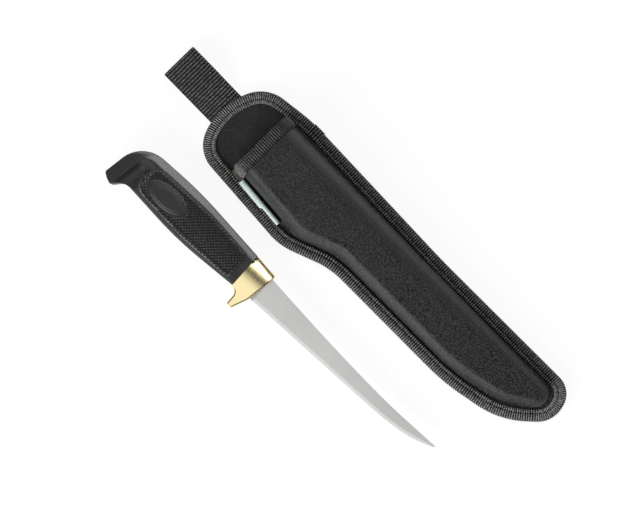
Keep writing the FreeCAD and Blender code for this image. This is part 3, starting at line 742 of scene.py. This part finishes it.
def frontSheet():
    form, seam = frontPad, sheathForm["seam"]
    line = fromLeft(sheathForm["foot"], form["step"])
    line = evenCount(line[line[:, 0] > form["from"]])
    inward = sideways(line, closed=False)
    rings = [atLevel(line - inward * outside, seam + lift) for outside, lift in form["flange"]]
    foot = form["flange"][-1][1]
    low, high = form["shoulder"]
    upper = smoothStep(*form["upperWay"], -inward[:, 1]) * (1 - smoothStep(*form["upperFade"], line[:, 0]))
    width, gap = low + (high - low) * upper, form["gap"] * (1 - upper)
    power = 2 / form["roundness"]
    for angle in np.linspace(0, math.pi / 2, form["shoulderSteps"] + 1):
        inset = gap + width * (1 - max(0, math.cos(angle)) ** power)
        spot = line + inward * inset[:, None]
        rise = (frontRise(spot[:, 0]) - foot) * math.sin(angle) ** power
        push = frontFolds(line, inset, gap + width)
        spot = spot - inward * (push * math.cos(angle))[:, None]
        rings.append(atLevel(spot, seam + foot + rise + push * math.sin(angle)))
    points, faces = ladder(rings, False, form["across"], lambda plan: seam + frontRise(plan[:, 0]))
    count = len(line)
    half = np.linalg.norm(rings[-1] - rings[-1][::-1], axis=1) / 2
    steps = np.linalg.norm(np.diff(rings, axis=0), axis=2)
    far = half + np.vstack((np.cumsum(steps[::-1], axis=0)[::-1], np.zeros(count)))  # from the cloth's middle
    uv = points[:, :2].copy()
    uv[:far.size, 1] = (np.where(np.arange(count) < count // 2, -1.0, 1.0) * far).ravel()
    wall = np.ones(len(points))
    edges = np.repeat(form["edgeWalls"], count)
    wall[:len(edges)] = edges
    return newPiece("frontPad", points, faces, finishes["nylon"], uv), wall


def thicken(piece, wall, thickness, offset):
    setGroup(piece, "wall", wall)
    solid = piece.modifiers.new("wall", "SOLIDIFY")
    solid.thickness, solid.offset = thickness * mm, offset
    solid.vertex_group = "wall"
    solid.use_even_offset = False


frontPiece, frontWall = frontSheet()
frontTree = nearestIn(coordinates(frontPiece.data))
mouthStrip = twin(frontPiece, "mouthTape")  # kept for the tape over the mouth's edge


def wallAt(piece):  # the wall's share on a trimmed copy, from the nearest point of the whole sheet
    return np.array([frontWall[frontTree.find(point)[1]] for point in coordinates(piece.data)])


def makeFront():
    trim(frontPiece, mouthPoint(0), mouthOut)
    thicken(frontPiece, wallAt(frontPiece), frontPad["wall"], -1)
    bake(frontPiece)
    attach(frontPiece, "sheath")
    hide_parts("front_shell", "front_foam", "front_lining")


makeFront()
print("padded front made")


# sheath: tape over the mouth's edge

mouthTape = {
    "band": 7.6,
    "over": 0.85,  # how far it stands out of the mouth and over the cloth
    "inside": 3.6,
    "leastWall": 0.3,
    "fold": (0.55, 3, 45),  # width, steps and least angle of its soft edges
    "crown": 0.6,
    "ribShift": 0.4,  # the ribs' middle is this much nearer to the mouth than the band's
    "ribShort": 0.5,
    "ribPitch": 1.6,
    "ribWidth": 0.85,
    "ribHeight": 0.36,
    "tabFrom": -15.2,  # the folded end covers the tape below this height
    "tabLift": 0.5,
    "tabRibs": (0.3, 0.5, 9),  # the tape's last rib and the end's first one below that, and the end's lowest
    "stitch": (2.2, 0.26),
    "stitchPitch": 3.2,
    "stitchInset": 1.3,
}


def cutLine(piece, inward):  # a sheet's line along the mouth, with the sheet's normals there
    shape = opened(piece.data)
    edges = [item for item in planeCut(shape, mouthPoint(inward), mouthOut)["geom_cut"]
             if isinstance(item, bmesh.types.BMEdge)]
    shape.normal_update()
    meeting = {}
    for edge in edges:
        for vert in edge.verts:
            meeting.setdefault(vert, []).append(edge)
    here = min((v for v in meeting if len(meeting[v]) == 1), key=lambda v: v.co.y)
    line, lift, used = [here.co / mm], [here.normal.copy()], set()
    while onward := [edge for edge in meeting[here] if edge not in used]:
        used.add(onward[0])
        here = onward[0].other_vert(here)
        line.append(here.co / mm)
        lift.append(here.normal.copy())
    shape.free()
    return np.array(line), np.array(lift)


def halfRound(name, length, width, height, crown=0.0, arcPoints=7):  # a bar along Y, bowed by its crown
    rows = []
    stations = (-0.5, -0.46, -0.3, -0.1, 0.1, 0.3, 0.46, 0.5)
    for y in stations:
        size = height * (0.4 if y in (stations[0], stations[-1]) else 1.0)
        for a in np.linspace(0, math.pi, arcPoints):
            rows.append((-width / 2 * math.cos(a), y * length, size * math.sin(a) - crown * (2 * y) ** 2))
    faces = [face[::-1] for face in strips(len(stations), arcPoints)] + ends(len(stations), arcPoints)
    return newPiece(name, rows, faces)


def capsule(name, length, radius, around=8):  # a stitch along X
    stations = ((-0.5, 0.25), (-0.42, 0.8), (-0.2, 1.0), (0.2, 1.0), (0.42, 0.8), (0.5, 0.25))
    rows = []
    for x, size in stations:
        for a in math.tau * np.arange(around) / around:
            rows.append((x * length, radius * size * math.cos(a), radius * size * math.sin(a)))
    faces = strips(len(stations), around, wrapColumns=True) + ends(len(stations), around)
    return newPiece(name, rows, [face[::-1] for face in faces])


def makeMouthTape():
    form = mouthTape
    trim(mouthStrip, mouthPoint(-form["over"]), mouthOut)
    trim(mouthStrip, mouthPoint(form["band"]), -mouthOut)
    scene.collection.objects.link(mouthStrip)
    mouthStrip.data.materials[0] = finishes["tape"]
    points = coordinates(mouthStrip.data)
    across = (behindMouth(points) + form["over"]) / (form["band"] + form["over"])
    normals = np.array([vert.normal for vert in mouthStrip.data.vertices])
    points += normals * (form["crown"] * (1 - (2 * across - 1) ** 2))[:, None]
    setCoordinates(mouthStrip.data, points)
    line, lift = cutLine(mouthStrip, form["band"] / 2 - form["ribShift"])
    row, rowLift = cutLine(mouthStrip, form["band"] - form["stitchInset"])
    tab = twin(mouthStrip, "mouthTapeEnd")
    scene.collection.objects.link(tab)
    tab.data.materials[0] = finishes["tapeEnd"]
    trim(tab, (0, form["tabFrom"], 0), (0, 1, 0))
    for piece, outside in ((mouthStrip, 0.0), (tab, form["tabLift"])):
        over = form["over"] + outside
        whole = over + form["inside"]
        thicken(piece, np.maximum(wallAt(piece), form["leastWall"]), whole, 2 * over / whole - 1)
        softEdges(piece, *form["fold"])
        bake(piece)
        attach(piece, "sheath")
    below, covered = form["tabFrom"] - line[:, 1], form["tabFrom"] - row[:, 1]
    tapeLast, tabFirst, lowest = form["tabRibs"]
    long = form["band"] + form["over"] - form["ribShort"]
    made = []
    for name, part, rise, finish in (
            ("mouthRibs", below < tapeLast, 0.0, "mouthRib"),
            ("tabRibs", (below > tabFirst) & (line[:, 2] > lowest), form["tabLift"], "tapeEnd")):
        bar = halfRound(name + "Bar", long, form["ribWidth"], form["ribHeight"], form["crown"])
        seat = line + lift * (form["over"] + rise - sheathForm["ribSunk"])
        made.append(alongSeam(name, seat[part], lift[part], bar, form["ribPitch"], finish, False))
    seat, part = row + rowLift * (form["over"] + form["ribHeight"]), covered < tapeLast
    stitch = capsule("mouthStitch", *form["stitch"])
    made.append(alongSeam(
        "mouthStitches", seat[part], rowLift[part], stitch, form["stitchPitch"], "thread", False))
    for piece in made:
        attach(piece, "sheath")
    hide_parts("mouth_binding")


makeMouthTape()
print("mouth tape made")


# sheath: tape round the rim

rimTape = {
    "profile": (  # inside the rim, height
        (8.2, 5.4), (8.05, 5.8), (7.4, 6.2), (6.3, 6.25), (5.6, 5.75), (5.1, 5.75), (4.4, 6.3), (3.4, 6.35),
        (2.0, 6.2), (0.95, 5.75), (0.35, 5.15), (0.2, 4.5), (0.35, 3.85), (0.95, 3.25), (2.0, 2.8), (4.4, 2.7),
        (7.4, 2.72), (8.05, 2.95), (8.2, 3.4)),
    "middle": (4.4, 4.5),  # of the profile
    "ribPitch": 1.6,
    "ribWidth": 0.85,
    "ribHeight": 0.38,
    "ribEnd": 0.35,  # how high a rib is at its ends
    "stitchInset": 5.35,
    "stitchLevel": 6.08,
    "stitch": (2.75, 0.3),
    "stitchPitch": 3.2,
    "joinX": (-93.0, -84.0),  # where the tape's ends overlap on the upper rim
    "joinLift": 0.5,
    "fold": (0.3, 2, 50),
}


def sweep(name, line, profile, closed, finish):  # a closed profile along a line in plan
    rows = []
    for at, side in zip(line, sideways(line, closed)):
        rows += [(*(at + side * inset), height) for inset, height in profile]
    faces = strips(len(line), len(profile), wrapRows=closed, wrapColumns=True)
    if not closed:
        faces += ends(len(line), len(profile))
    piece = newPiece(name, rows, faces, finishes[finish])
    fixNormals(piece)
    return piece


def ribOver(name, profile, arcPoints=5, step=0.6):  # a half-round rib that follows the tape's profile
    form = rimTape
    path = evenly(np.array(profile[1:-1]), step, closed=False)
    rows = []
    for k, (at, side) in enumerate(zip(path, sideways(path, closed=False))):
        height = form["ribHeight"] * (form["ribEnd"] if k in (0, len(path) - 1) else 1.0)
        for angle in np.linspace(0, math.pi, arcPoints):
            up = height * math.sin(angle) - sheathForm["ribSunk"]
            rows.append((-form["ribWidth"] / 2 * math.cos(angle), *(at - side * up)))
    return newPiece(name, rows, strips(len(path), arcPoints) + ends(len(path), arcPoints))


def makeRimTape():
    form = rimTape
    tape = sweep("rimTape", rimLine, form["profile"], True, "tape")
    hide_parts("edge_binding")
    up = np.tile((0.0, 0.0, 1.0), (len(rimLine), 1))
    rib = ribOver("rimRib", form["profile"])
    ribs = alongSeam("rimRibs", atLevel(rimLine, 0), up, rib, form["ribPitch"], "rib", True)
    fixNormals(ribs)
    seat = atLevel(rimLine + sideways(rimLine) * form["stitchInset"], form["stitchLevel"])
    stitch = capsule("rimStitch", *form["stitch"])
    thread = alongSeam("rimStitches", seat, up, stitch, form["stitchPitch"], "thread", True)
    x, y = rimLine.T
    upper = rimLine[(y > 0) & (x > form["joinX"][0]) & (x < form["joinX"][1])]
    middle, level = form["middle"]
    fuller = []
    for inset, height in form["profile"]:
        outward = form["joinLift"] if inset < middle else 0
        fuller.append((inset - outward, height + math.copysign(form["joinLift"], height - level)))
    joint = sweep("rimTapeJoin", upper, fuller, False, "tape")
    softEdges(joint, *form["fold"])
    bake(joint)
    rib = ribOver("joinRib", fuller)
    jointRibs = alongSeam(
        "rimJoinRibs", atLevel(upper, 0), up[:len(upper)], rib, form["ribPitch"], "rib", False)
    fixNormals(jointRibs)
    for piece in (tape, ribs, thread, joint, jointRibs):
        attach(piece, "sheath")


makeRimTape()
print("rim tape made")


# sheath: padded back and the lining on the tongue

farInside = 99.0  # an inset that is past every edge
backPad = {
    "step": 1.1,
    "edge": (0.9, 4.0),  # insets of the flat edge under the tape
    "flange": 3.65,
    "clear": 0.02,  # over the surface it lies on
    "top": 4.3,
    "padFrom": 8.3,  # inside the rim
    "padRun": 3.6,
    "padSteps": 8,
    "across": (40, 4),  # rungs below and above
    "tongueEnd": (0.3, 5.0),  # the padding begins this far behind the mouth
}
tongueCloth = {
    "step": 1.2,
    "insets": (0.85, 5.0, 8.6, 10.5, 12.5),
    "low": 4.35,
    "thick": 0.4,
    "across": 44,
    "wrinkle": 0.3,
    "free": (8.0, 13.0),  # inside the rim, where wrinkles may begin
    "freeEnd": (-6.0, 4.0),  # and where they end, behind the mouth
    "waves": (  # height, along X, along Y, shift
        (0.5, 0.42, 0.2, 0.8), (0.32, 0.23, -0.36, 0), (0.2, 0, 0.7, 1.7)),
    "flat": (0.0698, 0.2858),
    "area": 0.0154,
}


def backLevel(points, inset):
    share = np.clip((inset - backPad["padFrom"]) / backPad["padRun"], 0, 1)
    bulge = np.sqrt(1 - (1 - share) ** 2) * smoothStep(*backPad["tongueEnd"], behindMouth(points))
    return backPad["flange"] * (1 - bulge) + backPad["clear"]


def tongueLevel(points, inset):
    form = tongueCloth
    free = smoothStep(*form["free"], inset) * (1 - smoothStep(*form["freeEnd"], behindMouth(points)))
    x, y = points.T
    fold = sum(high * np.sin(alongX * x + alongY * y + shift) for high, alongX, alongY, shift in form["waves"])
    return form["low"] + form["thick"] + form["wrinkle"] * free * fold


def insetRings(step, insets, level):  # lines inside the rim, each at its level
    line = fromLeft(sheathForm["rim"], step)
    plans = [line + sideways(line) * inset for inset in insets]
    return [atLevel(plan, level(plan, inset)) for plan, inset in zip(plans, insets)]


def makeBack():
    form = backPad
    turns = np.linspace(0, math.pi / 2, form["padSteps"] + 1)
    insets = (*form["edge"], *(form["padFrom"] + form["padRun"] * (1 - np.cos(turns))))
    rungs, lidRungs = form["across"]
    rings = insetRings(form["step"], insets, backLevel)
    points, faces = ladder(rings, True, rungs, lambda plan: backLevel(plan, farInside))
    lidRings = insetRings(form["step"], form["edge"], lambda plan, inset: form["top"])
    lid, lidFaces = ladder(lidRings, True, lidRungs)
    count, above = len(rings[0]), len(points)
    every = [face[::-1] for face in faces] + [tuple(i + above for i in face) for face in lidFaces]
    every += [(j, (j + 1) % count, above + (j + 1) % count, above + j) for j in range(count)]
    both = np.vstack((points, lid))
    back = newPiece("backPad", both, every, finishes["nylon"], both[:, :2])
    fixNormals(back)
    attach(back, "sheath")
    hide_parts("back_shell", "back_foam")


def makeTongue():
    form = tongueCloth
    rings = insetRings(form["step"], form["insets"], tongueLevel)
    points, faces = ladder(rings, True, form["across"], lambda plan: tongueLevel(plan, farInside))
    cloth = newPiece("tongueLining", points, faces, finishes["lining"], points[:, :2])
    solid = cloth.modifiers.new("cloth", "SOLIDIFY")
    solid.thickness, solid.offset = form["thick"] * mm, -1
    bake(cloth)
    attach(cloth, "sheath")
    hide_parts("back_lining")


makeBack()
makeTongue()
print("back and tongue made")


# sheath: belt loop and the bare tab in the seam

beltLoop = {
    "path": (  # along the strap: place, height, rounding
        (-112.0, 0.95, 0), (-183.9, 0.95, 3.2), (-183.9, 8.3, 3.2), (-162.3, 8.3, 12), (-148.2, 2.2, 12),
        (-126.2, 2.2, 2), (-124.6, 3.0, 2), (-112.0, 3.0, 0)),
    "step": 0.7,
    "width": 25.5,
    "thick": 1.1,
    "corner": 0.35,
    "turn": math.radians(-3.7),
    "turnAt": -143.75,
    "shift": 5.3,
    "ribShort": 0.8,
    "ribPitch": 2.07,
    "ribWidth": 0.95,
    "ribHeight": 0.36,
}
seamTab = {
    "size": (36.0, 3.8, 0.6),
    "corner": (-104.2, -26.7),
    "turn": math.radians(-8.0),
    "level": 6.45,
    "stations": (0.0, 0.02, 0.3, 0.58, 0.61, 0.8, 0.98, 1.0),  # shares of its length
    "coveredFrom": 0.6,  # the tape covers more of it from here on
    "covered": 1.1,
    "fold": 0.35,
    "endDrop": 0.3,
}


def makeBeltLoop():
    form = beltLoop
    path = roundedPlan(form["path"], form["step"], closed=False)
    out = sideways(path, closed=False)
    half, thick = form["width"] / 2, form["thick"] / 2
    flat = half - form["corner"]
    section = ((-flat, -thick), (flat, -thick), (half, -thick / 2), (half, thick / 2), (flat, thick),
               (-flat, thick), (-half, thick / 2), (-half, -thick / 2))

    def placed(points):  # from the strap's own line to its turned place
        return turned(points - (form["turnAt"], 0, 0), form["turn"]) + (form["turnAt"], form["shift"], 0)

    rows = []
    for at, side in zip(path, out):
        rows += [(at[0] + side[0] * n, y, at[1] + side[1] * n) for y, n in section]
    faces = strips(len(path), len(section), wrapColumns=True) + ends(len(path), len(section))
    strap = newPiece("beltWebbing", placed(np.array(rows)), faces, finishes["webbing"])
    fixNormals(strap)
    seat, lift = (np.insert(plan, 1, 0, axis=1) for plan in (path + out * thick, out))
    bar = halfRound("beltRib", form["width"] - form["ribShort"], form["ribWidth"], form["ribHeight"])
    ribs = alongSeam(
        "beltRibs", placed(seat), turned(lift, form["turn"]), bar, form["ribPitch"], "webbingRib", False)
    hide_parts("belt_loop")
    for piece in (strap, ribs):
        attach(piece, "sheath")


def makeSeamTab():  # folded along its middle, narrower where the tape covers it
    form = seamTab
    long, wide, thick = form["size"]
    fold, points = form["fold"], []
    for share in form["stations"]:
        low = form["covered"] if share > form["coveredFrom"] else 0.0
        ring = ((low, 0.1), (low, thick - 0.15), (low + 0.3, thick), (0.56 * wide, thick + fold),
                (0.68 * wide, thick + fold * 0.8), (wide - 0.3, thick), (wide, thick - 0.2), (wide, 0.1))
        drop = form["endDrop"] if share in (0.0, 1.0) else 0.0
        for y, z in ring:
            points.append((share * long - long / 2, y - wide / 2, form["level"] + z - (drop if z > 0.2 else 0)))
    faces = strips(len(form["stations"]), len(ring), wrapColumns=True) + ends(len(form["stations"]), len(ring))
    middle = (form["corner"][0] + long / 2, form["corner"][1] + wide / 2, 0)
    tab = newPiece("seamTab", turned(np.array(points), form["turn"]) + middle, faces, finishes["tab"])
    fixNormals(tab)
    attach(tab, "sheath")
    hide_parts("seam_label")


makeBeltLoop()
makeSeamTab()
print("belt loop and tab made")


# knife: rubber grip with checkered panels and bare ovals

gripForm = {
    "from": np.array((-63.9, -61.4, 9.0)),  # the knife's own place in the frame
    "outline": (
        (0, -13.2, 0), (0, 10.8, 0), (-55.0, 16.9, 301), (-102, 16.5, 20), (-107.3, -13.5, 0.9),
        (-99.5, -18.3, 0), (-93.5, -10.3, 9), (-45, -15.2, 249)),
    "panel": (
        (-4.6, -11.8, 4), (-4.6, 7, 4.5), (-42, 11.2, 150), (-81, 11.6, 9), (-88, 1, 12), (-84, -8.6, 8),
        (-42, -12.3, 150)),
    "crest": (  # bevels fall away outside this line, along the spine and the butt
        (12, -40, 0), (12, 5.1, 0), (-42, 11.2, 150), (-94.3, 11.8, 8), (-103.4, -40, 0)),
    "voxel": 0.4,
    "smooth": (5, 0.45),
    "spineSlope": math.tan(math.radians(24.0)),
    "bevelReach": 9.0,
    "buttSlope": math.tan(math.radians(12.0)),
    "buttTurn": math.radians(10.0),
    "buttFrom": (90, 99),  # along the knife and square to the butt, as the next ones are
    "buttCrest": 94.9,
    "scoop": (2.3, 5.6, 13.0),  # depth, where it is deepest and where it ends, from the butt's crest
    "scoopSide": (2.0, 10.5),  # it ends towards the spine
    "bellySlope": math.tan(math.radians(7.0)),
    "bellyReach": 7.0,
    "bellySide": (-5.0, 5.0),
    "bellyEnd": (78, 90),
    "panelDrop": 0.6,
    "panelStep": 0.5,
    "panelCrown": (0.007, 0.5, 3.0),  # bow, its middle, and how far in it is whole
    "rounds": (5.5, 3.0, 4),  # of the solid, along the spine and the belly, and where they meet
    "solidScoop": (84, 102, 4, 0.6),  # from, to, least height and depth
    "rimPush": (0.8, 0.8, 4.0),  # share, and the distances over which it fades
    "rimSide": (-3, 3),
    "rimButt": (95, 99),
    "rimTurn": (-80, -40),  # straight across in front of the butt's bend
    "checkerPitch": 1.69,
    "checkerHeight": 0.54,
    "checkerStretch": 1.07,
    "checkerFrom": (0.75, 0.9, 0.3, 5),  # inside the panel, outside the oval, least facing and height
    "checkerMiddle": -46.0,
    "ovalAt": (-66.5, 0.0),
    "ovalHalf": (14.5, 7.3),
    "ovalDrop": 0.5,
    "ovalRows": (  # share of the half sizes, lift: a raised rim, an inner ridge and a bare field
        (1.07, -1.2), (1.03, 0.1), (0.99, 0.26), (0.94, 0.28), (0.9, 0.13), (0.87, 0.03), (0.83, 0.0),
        (0.8, 0.14), (0.77, 0.14), (0.74, -0.02), (0.5, 0.02), (0.25, 0.03)),
    "ovalAround": 96,
}
gripLine = roundedPlan(gripForm["outline"], 1.0)
crestLine = roundedPlan(gripForm["crest"], 1.6)
panelLine = roundedPlan(gripForm["panel"], 0.5)


def inOval(points, grow=0.0):  # below one inside the oval
    return np.linalg.norm((points - gripForm["ovalAt"]) / (np.array(gripForm["ovalHalf"]) + grow), axis=1)


def toButt(points):
    return points[:, 1] * math.sin(gripForm["buttTurn"]) - points[:, 0] * math.cos(gripForm["buttTurn"])


def flankLevel(points):  # how high the flank stands over the knife's middle plane
    form, y = gripForm, points[:, 1]
    depth, far = inDepth(points, panelLine), toButt(points)
    slope = form["spineSlope"] + (form["buttSlope"] - form["spineSlope"]) * smoothStep(*form["buttFrom"], far)
    level = form["from"][2] - slope * np.clip(-inDepth(points, crestLine), 0, form["bevelReach"])
    belly = (1 - smoothStep(*form["bellySide"], y)) * (1 - smoothStep(*form["bellyEnd"], far))
    level -= form["bellySlope"] * belly * np.clip(-depth, 0, form["bellyReach"])
    deep, deepest, end = form["scoop"]
    inside = form["buttCrest"] - far
    scoop = np.sin(math.pi / 2 * np.clip(inside / deepest, 0, 1)) * (1 - smoothStep(deepest, end, inside))
    level -= deep * scoop * (1 - smoothStep(*form["scoopSide"], y))
    bow, middle, whole = form["panelCrown"]
    level -= bow * (y - middle) ** 2 * smoothStep(0, whole, depth)
    return level - form["panelDrop"] * smoothStep(0, form["panelStep"], depth)


def squareRim(points):  # fills the solid's scoop, and its rounded rim along the spine and the butt
    form = gripForm
    depth, far = inDepth(points[:, :2], gripLine), toButt(points)
    height = np.abs(points[:, 2])
    spine, belly, meet = form["rounds"]
    size = np.where(points[:, 1] > meet, spine, belly)
    filled = form["from"][2] - size + np.sqrt(np.maximum(0, size ** 2 - np.clip(size - depth, 0, size) ** 2))
    start, end, least, inside = form["solidScoop"]
    scooped = (height > least) & (depth > inside) & (far > start) & (far < end)
    height = np.where(scooped, np.maximum(height, filled), height)
    rim = roundedPlan(form["outline"], 0.1)
    rim = atLevel(rim[rim[:, 0] < -0.2], 0)  # without the front edge
    tree = nearestIn(rim)
    share, full, reach = form["rimPush"]
    weight = share * np.maximum(smoothStep(*form["rimSide"], points[:, 1]), smoothStep(*form["rimButt"], far))
    across = 1 - smoothStep(*form["rimTurn"], points[:, 0])
    for i in np.flatnonzero((depth < reach) & (weight > 0)):
        spot = (*points[i, :2], 0)
        near, away = tree.find(spot)[1:]
        push = (rim[near] - spot) * weight[i] * (1 - smoothStep(full, reach, away))
        points[i] += push * (across[i], 1, 1)
    points[:, 2] = np.copysign(np.minimum(height, flankLevel(points[:, :2])), points[:, 2])
    return points


def makeGrip():
    form = gripForm
    grip = newPiece("gripBody")
    grip.data = bpy.data.objects["handle_grip"].data.copy()
    grip.data.name = "gripBody"
    grip.data.materials.clear()
    grip.data.materials.append(finishes["rubber"])
    fixNormals(grip)
    fine = grip.modifiers.new("even", "REMESH")
    fine.mode, fine.voxel_size = "VOXEL", form["voxel"] * mm
    bake(grip)
    setCoordinates(grip.data, squareRim(coordinates(grip.data) - form["from"]) + form["from"])
    soft = grip.modifiers.new("soft", "SMOOTH")
    soft.iterations, soft.factor = form["smooth"]
    bake(grip)
    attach(grip, "knife")
    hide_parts("handle_grip")
    return grip


def flankPanel(grip, side):  # the part of a flank that carries checkering
    inside, outside, least, height = gripForm["checkerFrom"]
    shape = opened(grip.data)
    centres = np.array([face.calc_center_median() for face in shape.faces]) / mm - gripForm["from"]
    facing = np.array([face.normal.z for face in shape.faces]) * side
    fits = (inDepth(centres[:, :2], panelLine) > inside) & (inOval(centres[:, :2], outside) > 1)
    fits &= (facing > least) & (centres[:, 2] * side > height)
    shape.faces.ensure_lookup_table()
    bmesh.ops.delete(shape, geom=[shape.faces[i] for i in np.flatnonzero(~fits)], context="FACES")
    panel = newPiece("flankPanel")
    shape.to_mesh(panel.data)
    shape.free()
    return panel


def makeChecker(grip, side, name):
    form = gripForm
    panel = flankPanel(grip, side)
    above = form["from"] + np.array((form["checkerMiddle"], 0, side * 30))
    lattice = newPiece(name, [above, above + (0.01, 0, 0), above + (0, 0.01, 0)], [(0, 1, 2)])
    pitch, height = form["checkerPitch"] * mm, form["checkerHeight"] * mm
    runTree(lattice, checkerTree, Panel=panel, Pitch=pitch, Height=height, Stretch=form["checkerStretch"],
            Side=float(side), Finish=finishes["rubber"])
    lattice.data.shade_flat()
    bpy.data.objects.remove(panel)
    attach(lattice, "knife")
    print("  made", name, len(lattice.data.polygons), "faces")


def makeOval(side, name):
    form, count = gripForm, gripForm["ovalAround"]
    base = form["from"][2] - form["ovalDrop"]
    turns = math.tau * np.arange(count) / count
    ring = np.column_stack((np.cos(turns), np.sin(turns))) * form["ovalHalf"]
    points = [atLevel(ring * grow + form["ovalAt"], (base + lift) * side) for grow, lift in form["ovalRows"]]
    points.append(((*form["ovalAt"], (base + form["ovalRows"][-1][1]) * side),))
    rows = len(form["ovalRows"])
    last, middle = (rows - 1) * count, rows * count
    faces = strips(rows, count, wrapColumns=True)
    faces += [(last + k, middle, last + (k + 1) % count) for k in range(count)]
    faces.append(tuple(range(count)))
    oval = newPiece(name, np.vstack(points) + form["from"], faces, finishes["rubber"])
    fixNormals(oval)
    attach(oval, "knife")


gripPiece = makeGrip()
for side, word in ((1, "Upper"), (-1, "Lower")):
    makeChecker(gripPiece, side, "checker" + word)
    makeOval(side, "oval" + word)
print("grip made")


# knife: brass guard, rounder towards the spine than its solid

guardForm = {
    "cuts": (-22.0, 11.0, 0.55),  # strips across the guard, so that its flat sides can bend
    "half": 7.8,
    "crest": -1.5,  # thickest here, an oval from here up to the spine
    "ovalRun": 13.6,
    "bow": 0.012,  # and a slow curve down to the finger stop
    "bowUntil": 5.8,
    "fillet": 5.0,  # of the solid
    "top": 10.9,
    "flat": math.radians(0.5),
    "sharp": math.radians(40),
}


def makeGuard():
    form = guardForm
    shape = opened(bpy.data.objects["finger_guard"].data)
    bmesh.ops.remove_doubles(shape, verts=shape.verts, dist=mergeReach)
    bmesh.ops.dissolve_limit(shape, angle_limit=form["flat"], verts=shape.verts, edges=shape.edges)
    for y in np.arange(*form["cuts"]):
        planeCut(shape, (0, gripForm["from"][1] + y, 0), (0, 1, 0), dist=mergeReach / 10)
    bmesh.ops.recalc_face_normals(shape, faces=shape.faces)
    guard = newPiece("guardBody", material=finishes["brass"])
    putBack(shape, guard)
    points = coordinates(guard.data) - gripForm["from"]
    share = np.clip((points[:, 1] - form["crest"]) / form["ovalRun"], 0, 0.99)
    below = np.maximum(form["crest"] - points[:, 1], 0)
    bent = np.minimum(below, form["bowUntil"])
    slow = form["bow"] * (bent ** 2 + 2 * form["bowUntil"] * (below - bent))
    oval = form["half"] * np.sqrt(1 - share * share) - slow
    over = np.clip(points[:, 1] - (form["top"] - form["fillet"]), 0, form["fillet"])
    solid = form["half"] - form["fillet"] + np.sqrt(form["fillet"] ** 2 - over ** 2)
    points[:, 2] *= np.minimum(1, oval / solid)
    setCoordinates(guard.data, points + gripForm["from"])
    guard.data.set_sharp_from_angle(angle=form["sharp"])
    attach(guard, "knife")
    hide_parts("finger_guard")


makeGuard()
print("guard made")


# knife and sleeve: solids that keep their CAD shape

for node, finish in (("blade", "steel"), ("handle_core", "core"), ("blade_liner", "sleeve")):
    solid = bpy.data.objects[node]
    solid.data.materials.clear()
    solid.data.materials.append(finishes[finish])
print("solids dressed")


# what each set of lamps lights

gripPieces = ("gripBody", "checkerUpper", "checkerLower", "ovalUpper", "ovalLower", "guardBody")
for piece in scene.objects:
    if piece.type == "MESH":
        onKnife = piece.name in (*gripPieces, "blade", "handle_core")
        litSets["knifeLamps" if onKnife else "sheathLamps"].objects.link(piece)
        if piece.name in gripPieces:
            litSets["gripLamps"].objects.link(piece)


# end of the scene

print("scene built")
